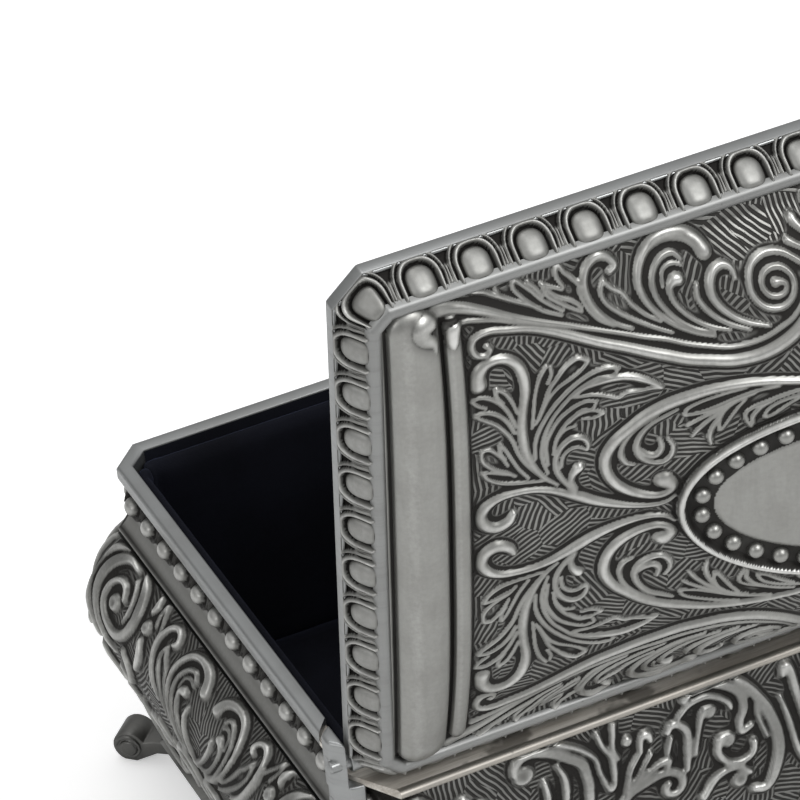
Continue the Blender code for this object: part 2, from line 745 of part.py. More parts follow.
# Lining: padded boards and strips
def cushion(name, x_half, y_low, y_high, z_edge, z_face, crown, cut, face_up=True):
    """A padded board with rounded edges and a crowned face."""
    bm = bmesh.new()
    sign = 1 if face_up else -1
    steps = [(0.0003, z_edge), (0.0, z_edge + sign * 0.0003),
             (0.0, z_face - sign * 0.0005), (0.0005, z_face)]
    loops = []
    for inset, z in steps:
        ring = cut_ring(x_half - inset, y_low + inset, y_high - inset, cut)
        loops.append(add_loop(bm, [(x, y, z) for x, y in ring]))
    span = min(x_half, (y_high - y_low) / 2)
    for part in (0.10, 0.28, 0.55):
        inset = span * part
        z = z_face + sign * crown * (1 - (1 - part) ** 2)
        ring = cut_ring(x_half - inset, y_low + inset, y_high - inset, cut * (1 - part))
        loops.append(add_loop(bm, [(x, y, z) for x, y in ring]))
    for a, b in zip(loops, loops[1:]):
        join_loops(bm, a, b)
    bm.faces.new(list(reversed(loops[0])))
    bm.faces.new(loops[-1])
    return add_object(name, bm, (0.006, 0.007, 0.012), 0.0, 0.95)


def build_card(name, x_half, y_low, y_high, z0, z1, cut):
    card = prism(name, cut_ring(x_half, y_low, y_high, cut), z0, z1)
    card.data.materials.clear()
    card.data.materials.append(make_material(name, (0.20, 0.17, 0.13), 0.0, 0.9))
    return card


def lining_strip(name, side):
    """One wall's strip of velvet-covered card, with both ends bent round half a corner."""
    rings = []
    for inset in (STRIP_INSET, STRIP_INSET + STRIP_THICK):
        cut = CORNER_CUT - (2 - ROOT2) * inset
        rings.append(cut_ring(HALF_LENGTH - inset, FRONT + inset, -inset, cut, None, 1, 1))
    first = {"front": 0, "right": 2, "back": 4, "left": 6}[side]
    plan = []
    for ring in rings:
        before, start = ring[first - 1], ring[first]
        end, after = ring[(first + 1) % 8], ring[(first + 2) % 8]
        trim = 0.48
        head = [start[i] + (before[i] - start[i]) * trim for i in range(2)]
        tail = [end[i] + (after[i] - end[i]) * trim for i in range(2)]
        plan.append([tuple(head), start, end, tuple(tail)])
    outline = plan[0] + list(reversed(plan[1]))
    top = RIM_HEIGHT - STRIP_BELOW_RIM - (LEDGE_DROP if side == "back" else 0.0)
    strip = prism(name, outline, FLOOR_LEVEL + CARD + GAP, top)
    strip.data.materials.clear()
    strip.data.materials.append(make_material(name, (0.006, 0.007, 0.012), 0.0, 0.95))
    return strip


# Assembly
def turn_open(obj):
    """Turns a closed lid piece to its open stop and puts its origin on the hinge."""
    pivot = Vector((0.0, -HINGE_IN, RIM_HEIGHT + HINGE_UP))
    turn = Matrix.Rotation(-OPEN_ANGLE, 4, "X")
    obj.data.transform(turn @ Matrix.Translation(-pivot))
    obj.location = pivot


body = [build_body_shell(), build_base_plate()]
CORNERS = [("front_left", -1, 0), ("front_right", 1, 0), ("back_left", -1, 1),
           ("back_right", 1, 1)]
for label, x_sign, y_end in CORNERS:
    body.append(build_foot("foot_" + label, x_sign, y_end))
    body.append(build_foot_screw("foot_screw_" + label, x_sign, y_end))
for label, side in (("left", -1), ("right", 1)):
    pin_z = RIM_HEIGHT + HINGE_UP
    body.append(rod("hinge_pin_" + label,
                    (side * (HALF_LENGTH - PIN_REACH), -HINGE_IN, pin_z),
                    (side * (HALF_LENGTH + EAR_OUT + 0.0004), -HINGE_IN, pin_z),
                    PIN_RADIUS, dome=0.0004))
floor_inset = 0.0013
body.append(build_card("floor_board", HALF_LENGTH - floor_inset, FRONT + floor_inset,
                       -floor_inset, FLOOR_LEVEL, FLOOR_LEVEL + CARD, CORNER_CUT))
pad_inset = STRIP_INSET + STRIP_THICK + GAP
pad_bottom = FLOOR_LEVEL + CARD + GAP
body.append(cushion("floor_pad", HALF_LENGTH - pad_inset, FRONT + pad_inset, -pad_inset,
                    pad_bottom, pad_bottom + VELVET, CROWN, 0.0024))
for side_name in ("front", "right", "back", "left"):
    body.append(lining_strip("wall_lining_" + side_name, side_name))

lid_pieces = [build_lid_shell()]
board_inset = LID_WALL + 0.0009
back_edge = -0.0045
lid_pieces.append(build_card("lid_board", HALF_LENGTH - board_inset, FRONT + board_inset,
                             back_edge, RIM_HEIGHT + 0.0021, RIM_HEIGHT + 0.0031, 0.0020))
lid_pieces.append(cushion("lid_pad", HALF_LENGTH - LID_WALL - GAP, FRONT + LID_WALL + GAP,
                          back_edge, RIM_HEIGHT + 0.0018, RIM_HEIGHT + 0.0006, 0.0008,
                          0.0024, face_up=False))
for piece in lid_pieces:
    turn_open(piece)

for piece in body + lid_pieces:
    piece.location.y += BACK_TO_MIDDLE
    if piece in body:
        piece.data.transform(Matrix.Translation(piece.location))
        piece.location = (0.0, 0.0, 0.0)
bpy.context.view_layer.update()
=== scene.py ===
"""Dresses the cast trinket box: relief, mouldings, velvet, finishes, light and camera."""
import logging
import math
from dataclasses import dataclass, field
from enum import Enum
from typing import Any, Callable, Iterable, Sequence

import bmesh
import bpy
import numpy as np
from mathutils import Matrix, Vector


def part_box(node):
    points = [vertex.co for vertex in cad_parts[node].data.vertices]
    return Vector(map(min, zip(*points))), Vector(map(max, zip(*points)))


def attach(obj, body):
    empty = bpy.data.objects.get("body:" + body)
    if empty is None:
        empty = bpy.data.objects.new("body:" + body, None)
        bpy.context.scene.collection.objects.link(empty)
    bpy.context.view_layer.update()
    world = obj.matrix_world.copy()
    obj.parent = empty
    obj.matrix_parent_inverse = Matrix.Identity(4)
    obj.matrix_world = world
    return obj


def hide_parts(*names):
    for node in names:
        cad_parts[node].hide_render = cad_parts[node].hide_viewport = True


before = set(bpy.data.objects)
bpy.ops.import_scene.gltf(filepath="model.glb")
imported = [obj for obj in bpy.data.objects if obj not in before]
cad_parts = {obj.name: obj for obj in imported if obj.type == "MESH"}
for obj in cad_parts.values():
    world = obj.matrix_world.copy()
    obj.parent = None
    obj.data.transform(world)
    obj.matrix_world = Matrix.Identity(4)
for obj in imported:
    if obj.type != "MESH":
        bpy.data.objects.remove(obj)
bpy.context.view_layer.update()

LOG = logging.getLogger("trinket_box")
MM = 0.001
Triple = tuple[float, float, float]
Profile = tuple[tuple[float, float], ...]
Line = Sequence[Triple]

# Sizes that the dressed pieces share with the solids, in millimetres
HALF_LENGTH = 67.0
DEPTH = 86.0
RIM_HEIGHT = 56.5
BACK_TO_MIDDLE = 33.78
CORNER_CUT = 4.2
BACK_CUT = (4.6, 3.4)
HINGE_IN = 2.4
HINGE_UP = 1.5
OPEN_ANGLE = math.radians(97.4)


class Body(Enum):
    """The moving groups of the box."""

    CASE = "case"
    LID = "lid"


# Shader expressions
class Signal:
    """One shader value; Python's operators on it add Math nodes."""

    def __init__(self, sheet: "Sheet", socket: bpy.types.NodeSocket) -> None:
        """Wraps a socket of the given sheet."""
        self.sheet = sheet
        self.socket = socket

    def math(self, operation: str, *others: Any) -> "Signal":
        """Applies one Math operation.

        Args:
            operation: The Math node's operation.
            others: The further operands, numbers or signals.

        Returns:
            The result as a signal.
        """
        inputs = {0: self, **{k + 1: other for k, other in enumerate(others)}}
        return self.sheet.node("ShaderNodeMath", {"operation": operation}, inputs)["Value"]

    def __add__(self, other: Any) -> "Signal":
        """Adds."""
        return self.math("ADD", other)

    __radd__ = __add__

    def __mul__(self, other: Any) -> "Signal":
        """Multiplies."""
        return self.math("MULTIPLY", other)

    __rmul__ = __mul__

    def __sub__(self, other: Any) -> "Signal":
        """Subtracts a value from this one."""
        return self.math("SUBTRACT", other)

    def __rsub__(self, other: float) -> "Signal":
        """Subtracts this from a number."""
        return (self * -1.0) + other

    def sine(self) -> "Signal":
        """The sine of an angle in radians."""
        return self.math("SINE")

    def cosine(self) -> "Signal":
        """The cosine of an angle in radians."""
        return self.math("COSINE")

    def between(self, low: float, high: float) -> "Signal":
        """A smooth step from 0 at low to 1 at high."""
        settings = {"interpolation_type": "SMOOTHSTEP"}
        inputs = {"Value": self, "From Min": low, "From Max": high}
        return self.sheet.node("ShaderNodeMapRange", settings, inputs)["Result"]


class Outputs:
    """A node's outputs by name or number, as signals."""

    def __init__(self, sheet: "Sheet", node: bpy.types.Node) -> None:
        """Wraps the outputs of one node."""
        self.sheet = sheet
        self.node = node

    def __getitem__(self, key: Any) -> Signal:
        """The output called key."""
        return Signal(self.sheet, self.node.outputs[key])


class Sheet:
    """A node tree that nodes are added to by type, settings and inputs."""

    def __init__(self, tree: bpy.types.NodeTree) -> None:
        """Starts on the given tree."""
        self.tree = tree

    def node(self, kind: str, settings: dict[str, Any] | None = None,
             inputs: dict[Any, Any] | None = None) -> Outputs:
        """Adds one node.

        Args:
            kind: The node's type.
            settings: Its properties, which are set first.
            inputs: Values or signals for its sockets, by name or number.

        Returns:
            The node's outputs.
        """
        made = self.tree.nodes.new(kind)
        for name, value in (settings or {}).items():
            setattr(made, name, value)
        self.dress(made, inputs or {})
        return Outputs(self, made)

    def feed(self, socket: bpy.types.NodeSocket, value: Any) -> None:
        """Links a signal to a socket or sets its value.

        Args:
            socket: The input.
            value: A signal, a number, a colour of three numbers or what else it holds.
        """
        if isinstance(value, Signal):
            self.tree.links.new(value.socket, socket)
        elif isinstance(value, tuple) and len(value) == 3 and socket.type == "RGBA":
            socket.default_value = (*value, 1.0)
        else:
            socket.default_value = value

    def dress(self, shader: bpy.types.Node, sockets: dict[Any, Any]) -> None:
        """Feeds several of a node's sockets by name or number."""
        for name, value in sockets.items():
            self.feed(shader.inputs[name], value)

    def mix(self, amount: Any, first: Any, second: Any) -> Signal:
        """Mixes two colours by an amount from 0 to 1."""
        return self.node("ShaderNodeMix", {"data_type": "RGBA"},
                         {0: amount, 6: first, 7: second})[2]

    def attribute(self, name: str) -> Signal:
        """A number stored on the mesh."""
        return self.node("ShaderNodeAttribute", {"attribute_name": name})["Fac"]

    def place(self) -> Signal:
        """The Object coordinates, in metres."""
        return self.node("ShaderNodeTexCoord")["Object"]

    def noise(self, where: Signal, scale: float, detail: float = 3.0,
              roughness: float = 0.55) -> Signal:
        """Cloudy noise between 0 and 1, at a number of features to a unit of the place."""
        inputs = {"Vector": where, "Scale": scale, "Detail": detail, "Roughness": roughness}
        return self.node("ShaderNodeTexNoise", None, inputs)["Fac"]

    def stretched(self, where: Signal, scale: Triple) -> Signal:
        """Coordinates scaled by three factors."""
        return self.node("ShaderNodeMapping", None, {"Vector": where, "Scale": scale})["Vector"]

    def emboss(self, shader: bpy.types.Node, height: Signal, strength: float,
               distance: float) -> None:
        """Feeds a height through a Bump node to the shader's normal."""
        bump = self.node("ShaderNodeBump", None,
                         {"Strength": strength, "Distance": distance, "Height": height})
        self.feed(shader.inputs["Normal"], bump["Normal"])


@dataclass(frozen=True)
class Finish:
    """The common part of every finish: a named material with one Principled shader."""

    name: str

    def build(self) -> bpy.types.Material:
        """Makes the material and lets the finish paint it.

        Returns:
            The new material.
        """
        material = bpy.data.materials.new(self.name)
        material.use_nodes = True
        sheet = Sheet(material.node_tree)
        shader = material.node_tree.nodes["Principled BSDF"]
        self.paint(sheet, shader)
        return material

    def paint(self, sheet: Sheet, shader: bpy.types.Node) -> None:
        """Sets the shader's sockets."""
        raise NotImplementedError


@dataclass(frozen=True)
class AntiquePewter(Finish):
    """Cast alloy under antique pewter plate: bright satin tops over dark, hatched ground.

    The mesh carries three numbers: cavity, high in the hollows, crest, high on the ridges,
    and ground, 1 where the hatched ground shows. The hatch itself is drawn on the piece's own
    UV map, in millimetres. Cavity brings patina and painted shade, crest wear and a painted
    highlight.
    """

    metal: Triple = (0.265, 0.265, 0.252)
    worn: Triple = (0.465, 0.466, 0.444)
    bright: Triple = (0.80, 0.80, 0.775)
    oxide_and_shade_colour: Triple = (0.014, 0.0125, 0.011)
    hatch_pitch: float = 0.74
    patch: float = 4.8
    hatched: bool = True
    roughness: float = 0.37

    def hatch(self, sheet: Sheet) -> Signal:
        """Lines in patches of different directions.

        Args:
            sheet: Where the nodes are added.

        Returns:
            A signal that is 1 on a ridge and 0 in a groove.
        """
        flat = sheet.node("ShaderNodeUVMap", {"uv_map": "Relief"})["UV"]
        wobble = sheet.node("ShaderNodeTexNoise", {"noise_dimensions": "2D"},
                            {"Vector": flat, "Scale": 0.35, "Detail": 1.0})["Color"]
        bent = sheet.node("ShaderNodeVectorMath", {"operation": "MULTIPLY_ADD"},
                          {0: wobble, 1: (0.45, 0.45, 0.0), 2: flat})["Vector"]
        cells = sheet.node("ShaderNodeTexVoronoi", {"voronoi_dimensions": "2D"},
                           {"Vector": bent, "Scale": 1.0 / self.patch, "Randomness": 0.85})
        turn = sheet.node("ShaderNodeSeparateColor", None, {"Color": cells["Color"]})["Red"]
        angle = turn * 9.0
        parts = sheet.node("ShaderNodeSeparateXYZ", None, {"Vector": bent})
        across = parts["X"] * angle.cosine() + parts["Y"] * angle.sine()
        return (across * (2 * math.pi / self.hatch_pitch)).sine() * 0.5 + 0.5

    def paint(self, sheet: Sheet, shader: bpy.types.Node) -> None:
        """Patina and painted shade in hollows and grooves, wear and a painted highlight on the
        tops, fine cast grain all over.

        Args:
            sheet: Where the nodes go.
            shader: The material's shader.
        """
        where = sheet.place()
        cavity = sheet.attribute("cavity")
        cloud = sheet.noise(where, 160.0, 4.0)
        fine = sheet.noise(where, 1500.0, 3.0, 0.6)
        # Patina and painted shade: darker where the surface lies below its neighbourhood
        oxide_and_shade_mask = (cavity + (cloud - 0.5) * 0.25).between(0.14, 0.56)
        bump_height = fine * 0.012
        if self.hatched:
            ground = sheet.attribute("ground")
            ridge = self.hatch(sheet)
            # Patina and painted shade in the hatch's grooves, which are only a bump; the whole
            # ground is a little darker with patina
            groove = (1.0 - ridge).between(0.22, 0.58)
            oxide_and_shade_mask = oxide_and_shade_mask.math("MAXIMUM", ground * (groove * 0.84 + 0.11))
            bump_height = bump_height + ridge.between(0.15, 0.85) * ground * 0.16
        # Lighter away from the hollows: wear, and the lit side of the painted shade
        wear_and_painted_light = (0.46 - cavity + (fine - 0.5) * 0.12).between(0.26, 0.70)
        tone = sheet.mix(wear_and_painted_light, self.metal, self.worn)
        # Wear and a painted highlight: the crests are lightened towards the bright tone
        crest = sheet.attribute("crest")
        tone = sheet.mix((crest + (fine - 0.5) * 0.2).between(0.25, 0.95) * 0.9, tone, self.bright)
        brushed = sheet.noise(sheet.stretched(where, (1100.0, 1100.0, 45.0)), 1.0, 3.0, 0.6)
        tone = sheet.mix(brushed.between(0.42, 0.72) * 0.22, tone, self.metal)
        tone = sheet.mix(cloud.between(0.35, 0.75) * 0.30, tone, (0.23, 0.225, 0.21))
        bump_height = bump_height + brushed * 0.004
        rough = self.roughness + cloud * 0.10 + oxide_and_shade_mask * 0.28 - wear_and_painted_light * 0.05 + brushed * 0.05
        sheet.dress(shader, {"Base Color": sheet.mix(oxide_and_shade_mask * 0.97, tone, self.oxide_and_shade_colour),
                             "Roughness": rough, "Metallic": 1.0 - oxide_and_shade_mask * 0.45})
        sheet.emboss(shader, bump_height, 1.0, MM)


@dataclass(frozen=True)
class PlainPewter(Finish):
    """The satin, drawn finish of the rim, the lid's edge, the ears and the base plate."""

    metal: Triple = (0.375, 0.385, 0.385)
    grain: Triple = (60.0, 60.0, 900.0)
    roughness: float = 0.34

    def paint(self, sheet: Sheet, shader: bpy.types.Node) -> None:
        """Fine drawn lines, soft stains and a few darker scratches.

        Args:
            sheet: Where the nodes go.
            shader: The material's shader.
        """
        where = sheet.place()
        lines = sheet.noise(sheet.stretched(where, self.grain), 1.0, 4.0, 0.7)
        cloud = sheet.noise(where, 90.0, 4.0)
        speck = sheet.noise(where, 700.0, 2.0).between(0.70, 0.80)
        tone = sheet.mix(cloud.between(0.3, 0.8) * 0.45, self.metal, (0.27, 0.27, 0.262))
        tone = sheet.mix(lines.between(0.45, 0.75) * 0.25, tone, (0.19, 0.19, 0.185))
        tone = sheet.mix(speck * 0.35, tone, (0.07, 0.065, 0.06))
        sheet.dress(shader, {"Base Color": tone, "Metallic": 1.0,
                             "Roughness": self.roughness + lines * 0.10 + cloud * 0.06})
        sheet.emboss(shader, lines, 0.6, 0.00004)


@dataclass(frozen=True)
class Velvet(Finish):
    """Midnight blue-black velvet with a short pile."""

    colour: Triple = (0.0032, 0.0036, 0.0062)

    def paint(self, sheet: Sheet, shader: bpy.types.Node) -> None:
        """Brushed patches in the pile and a fine flock bump.

        Args:
            sheet: Where the nodes go.
            shader: The material's shader.
        """
        where = sheet.place()
        nap = sheet.noise(where, 55.0, 3.0).between(0.35, 0.70)
        flock = sheet.noise(where, 5200.0, 2.0, 0.7)
        tone = sheet.mix(nap, self.colour, tuple(c * 1.9 for c in self.colour))
        sheet.dress(shader, {"Base Color": tone, "Roughness": 0.86 + flock * 0.12,
                             "Sheen Weight": 0.10, "Sheen Roughness": 0.35,
                             "Sheen Tint": (0.35, 0.42, 0.75), "Specular IOR Level": 0.15})
        sheet.emboss(shader, flock, 0.5, 0.0002)


@dataclass(frozen=True)
class GreyBoard(Finish):
    """Pulp board behind the velvet."""

    def paint(self, sheet: Sheet, shader: bpy.types.Node) -> None:
        """Fibre flecks in grey-brown.

        Args:
            sheet: Where the nodes go.
            shader: The material's shader.
        """
        where = sheet.place()
        fibre = sheet.noise(sheet.stretched(where, (1.0, 3.0, 1.0)), 400.0, 5.0, 0.7)
        tone = sheet.mix(fibre.between(0.3, 0.7), (0.24, 0.21, 0.17), (0.15, 0.13, 0.10))
        sheet.dress(shader, {"Base Color": tone, "Roughness": 0.85 + fibre * 0.1})
        sheet.emboss(shader, fibre, 0.5, 0.0001)


@dataclass(frozen=True)
class TurnedSteel(Finish):
    """Bare steel of the foot screws."""

    def paint(self, sheet: Sheet, shader: bpy.types.Node) -> None:
        """Fine turning marks with a little tarnish.

        Args:
            sheet: Where the nodes go.
            shader: The material's shader.
        """
        where = sheet.place()
        marks = sheet.noise(sheet.stretched(where, (1.0, 1.0, 6.0)), 900.0, 3.0)
        stain = sheet.noise(where, 300.0, 3.0).between(0.45, 0.8)
        tone = sheet.mix(stain * 0.5, (0.58, 0.57, 0.55), (0.26, 0.24, 0.22))
        sheet.dress(shader, {"Base Color": tone, "Metallic": 1.0,
                             "Roughness": 0.28 + marks * 0.18})
        sheet.emboss(shader, marks, 0.4, 0.00005)


@dataclass(frozen=True)
class PaleFloor(Finish):
    """The studio's matt white sweep."""

    def paint(self, sheet: Sheet, shader: bpy.types.Node) -> None:
        """Matt white, a little brighter where the camera sees it directly."""
        seen = sheet.node("ShaderNodeLightPath")["Is Camera Ray"]
        sheet.dress(shader, {"Base Color": (0.9, 0.9, 0.9), "Roughness": 0.9,
                             "Emission Color": seen, "Emission Strength": 0.42})


@dataclass(frozen=True)
class LedgeWarmReflection(Finish):
    """Warm tan on the ledge: a painted warm reflection in streaks, dull, lightened against the
    lid's shadow.
    """

    def paint(self, sheet: Sheet, shader: bpy.types.Node) -> None:
        """Long pale streaks of the painted warm reflection and dark stains over a warm grey.

        Args:
            sheet: Where the nodes go.
            shader: The material's shader.
        """
        where = sheet.place()
        streak = sheet.noise(sheet.stretched(where, (25.0, 500.0, 500.0)), 1.0, 5.0, 0.7)
        cloud = sheet.noise(where, 150.0, 3.0)
        # Painted warm reflection: pale streaks over a light tan, lightened against the lid's
        # shadow
        tone = sheet.mix(streak.between(0.35, 0.7), (0.42, 0.385, 0.335), (0.78, 0.745, 0.685))
        tone = sheet.mix(cloud.between(0.52, 0.62) * 0.75, tone, (0.10, 0.09, 0.075))
        sheet.dress(shader, {"Base Color": tone, "Metallic": 0.1,
                             "Roughness": 0.50 + streak * 0.15})
        sheet.emboss(shader, streak, 0.5, 0.00008)


class Rack:
    """Keeps one material of each finish."""

    def __init__(self) -> None:
        """Starts empty."""
        self.made: dict[str, bpy.types.Material] = {}

    def get(self, finish: Finish) -> bpy.types.Material:
        """The material of a finish, made at its first use.

        Args:
            finish: The finish.

        Returns:
            Its material.
        """
        if finish.name not in self.made:
            self.made[finish.name] = finish.build()
        return self.made[finish.name]


# The finishes of the box
RELIEF = AntiquePewter("relief_pewter")
BORDER = AntiquePewter("border_pewter", hatched=False, worn=(0.42, 0.422, 0.408),
                       roughness=0.47)
SATIN = PlainPewter("satin_pewter")
VELVET = Velvet("blue_black_velvet")
WARM_LEDGE = LedgeWarmReflection("ledge_warm_reflection")
BOARD = GreyBoard("grey_board")
STEEL = TurnedSteel("turned_steel")
BEAD = AntiquePewter("bead_pewter", hatched=False, metal=(0.30, 0.30, 0.285))
# The walls and the neck use darker copies of the lid's pewter: patina and painted shade on the
# box's sides
CARVED = AntiquePewter("carved_pewter", metal=(0.20, 0.20, 0.19), worn=(0.38, 0.382, 0.368),
                       bright=(0.80, 0.80, 0.775))
NECKED = AntiquePewter("neck_pewter", hatched=False, metal=(0.20, 0.20, 0.19),
                       worn=(0.42, 0.422, 0.408), bright=(0.56, 0.56, 0.54))
# Painted shade: the feet are a much darker copy of the pewter, as they stand in the body's shadow
SHADED_FOOT = AntiquePewter("foot_pewter_painted_shade", hatched=False, metal=(0.11, 0.11, 0.105),
                     worn=(0.19, 0.19, 0.182), bright=(0.42, 0.42, 0.405))
FILLET = PlainPewter("fillet_pewter", metal=(0.33, 0.335, 0.33), roughness=0.43)
# Painted highlight and warm reflection: a lighter, warm metal along the ledge's rounded edge
LEDGE_EDGE_LIGHT = PlainPewter("ledge_edge_warm_highlight", metal=(0.52, 0.49, 0.44), roughness=0.46)


# Relief: raised lines on a fine grid


def smooth_path(points: Line, spacing: float = 0.3) -> np.ndarray:
    """A Catmull-Rom curve through points of place and half width.

    Args:
        points: Rows of two coordinates and a half width, in millimetres.
        spacing: The distance between samples.

    Returns:
        The samples as rows of the same three numbers.
    """
    p = np.array(points, float)
    if len(p) == 1:
        return np.vstack([p, p])
    p = np.vstack([2 * p[0] - p[1], p, 2 * p[-1] - p[-2]])
    out = []
    for a, b, c, d in zip(p, p[1:], p[2:], p[3:]):
        count = max(int(np.hypot(*(c - b)[:2]) / spacing), 2)
        t = (np.arange(count) / count)[:, None]
        out.append(0.5 * (2 * b + (c - a) * t + (2 * a - 5 * b + 4 * c - d) * t ** 2
                          + (3 * b - a - 3 * c + d) * t ** 3))
    out.append(p[-2][None])
    path = np.vstack(out)
    path[:, 2] = np.maximum(path[:, 2], 0.05)
    return path


@dataclass
class ReliefField:
    """A grid of heights over a flat plan, in millimetres, that lines are raised on."""

    u: np.ndarray
    v: np.ndarray
    height: np.ndarray = field(init=False)

    def __post_init__(self) -> None:
        """Starts level."""
        self.height = np.zeros((len(self.v), len(self.u)))

    def raise_line(self, points: Line, rise: float = 0.62, base: float = 0.40,
                   power: float = 0.7, highest: float = 0.95,
                   widen: tuple[float, float] = (1.06, 0.06), dip: float = 0.0) -> None:
        """Raises one rounded line.

        Args:
            points: Rows of two coordinates and a half width.
            rise: Height gained with each millimetre of half width.
            base: Height of a line of no width.
            power: How round the line's back is.
            highest: The most that a line rises.
            widen: A factor on each half width and what is added to it.
            dip: How deeply the back of a wide line is gouged, 0 to 1.
        """
        path = smooth_path([(a, b, r * widen[0] + widen[1]) for a, b, r in points])
        reach = path[:, 2].max()
        low, high = path[:, :2].min(0) - reach, path[:, :2].max(0) + reach
        i = slice(*np.searchsorted(self.u, (low[0], high[0])))
        j = slice(*np.searchsorted(self.v, (low[1], high[1])))
        if i.start >= i.stop or j.start >= j.stop:
            return
        uu, vv = np.meshgrid(self.u[i], self.v[j])
        best = self.height[j, i]
        for (ax, ay, ar), (bx, by, br) in zip(path, path[1:]):
            dx, dy = bx - ax, by - ay
            length = dx * dx + dy * dy
            t = np.clip(((uu - ax) * dx + (vv - ay) * dy) / max(length, 1e-9), 0, 1)
            r = ar + (br - ar) * t
            d2 = ((uu - ax - dx * t) ** 2 + (vv - ay - dy * t) ** 2) / (r * r)
            inside = np.clip(1 - d2, 0, None)
            top = np.minimum(base + rise * r, highest) * inside ** power
            gouge = dip * np.clip((r - 0.55) / 0.45, 0, 1)
            top = top * (1 - gouge * np.clip(inside * 1.6 - 0.6, 0, 1))
            np.maximum(best, top, out=best)
        self.height[j, i] = best


def blurred(values: np.ndarray, cells: int, rounds: int = 3) -> np.ndarray:
    """A smooth local mean: a box blur, repeated.

    Args:
        values: A grid of numbers.
        cells: How far the mean reaches to each side.
        rounds: How often the grid is blurred.

    Returns:
        The blurred grid.
    """
    out = values
    for _ in range(rounds):
        for axis in (0, 1):
            pad = [(0, 0), (0, 0)]
            pad[axis] = (cells + 1, cells)
            run = np.cumsum(np.pad(out, pad, mode="edge"), axis=axis)
            width = 2 * cells + 1
            top = np.take(run, range(width, run.shape[axis]), axis=axis)
            low = np.take(run, range(0, run.shape[axis] - width), axis=axis)
            out = (top - low) / width
    return out


def filled(raised: np.ndarray, cells: int, most: float) -> np.ndarray:
    """Raises the ground between close lines, as the body of a leaf."""
    body = np.clip(blurred(raised, cells, 2) * 1.25 - 0.12, 0, most)
    return np.maximum(raised, body)


def cavity_of(height: np.ndarray, cells: int, depth: float) -> np.ndarray:
    """How far each point lies below its neighbourhood, 0 to 1 at the given depth."""
    return np.clip((blurred(height, cells) - height) / depth, 0, 1)


def crest_of(height: np.ndarray, cells: int, rise: float) -> np.ndarray:
    """How far each point stands above its neighbourhood, 0 to 1 at the given rise."""
    return np.clip((height - blurred(height, cells)) / rise, 0, 1)


def hollows(height: np.ndarray, strokes: np.ndarray, ground: np.ndarray, narrow: float,
            tight: float) -> np.ndarray:
    """How dark each place of a carved surface is, with patina and painted shade.

    Args:
        height: The surface's heights.
        strokes: The raised lines alone.
        ground: 1 where the hatched ground shows.
        narrow: The depth at which a gap between lines on the ground counts in full.
        tight: The same for the narrowest hollows of the whole surface.

    Returns:
        Numbers from 0 to 1.
    """
    # Painted shade in the gaps between lines and a dark halo round them, together with patina
    between = cavity_of(strokes, 4, 0.38) * (1 - ground) + cavity_of(strokes, 2, narrow) * ground
    return np.maximum.reduce([cavity_of(height, 5, 0.62) * (1 - 0.4 * ground), between,
                              cavity_of(height, 2, tight) * 0.9])


def grid_normals(points: np.ndarray) -> np.ndarray:
    """Unit normals of a grid of points.

    Args:
        points: Rows by columns by three.

    Returns:
        The direction along the columns crossed with that along the rows.
    """
    du = np.gradient(points, axis=1)
    dv = np.gradient(points, axis=0)
    normal = np.cross(du, dv)
    return normal / np.maximum(np.linalg.norm(normal, axis=2, keepdims=True), 1e-12)


def rounded(bm: bmesh.types.BMesh, edges: Iterable[bmesh.types.BMEdge], offset: float,
            segments: int = 3) -> None:
    """Rounds edges by an offset in the mesh's own units."""
    bmesh.ops.bevel(bm, geom=list(edges), offset=offset, segments=segments, profile=0.5,
                    affect="EDGES", material=-1)


def turned_to(normals: np.ndarray, out: Sequence[float], row: int, column: int) -> np.ndarray:
    """The normals, or their opposites where the one at a place points against out."""
    return -normals if np.dot(normals[row, column], out) < 0 else normals


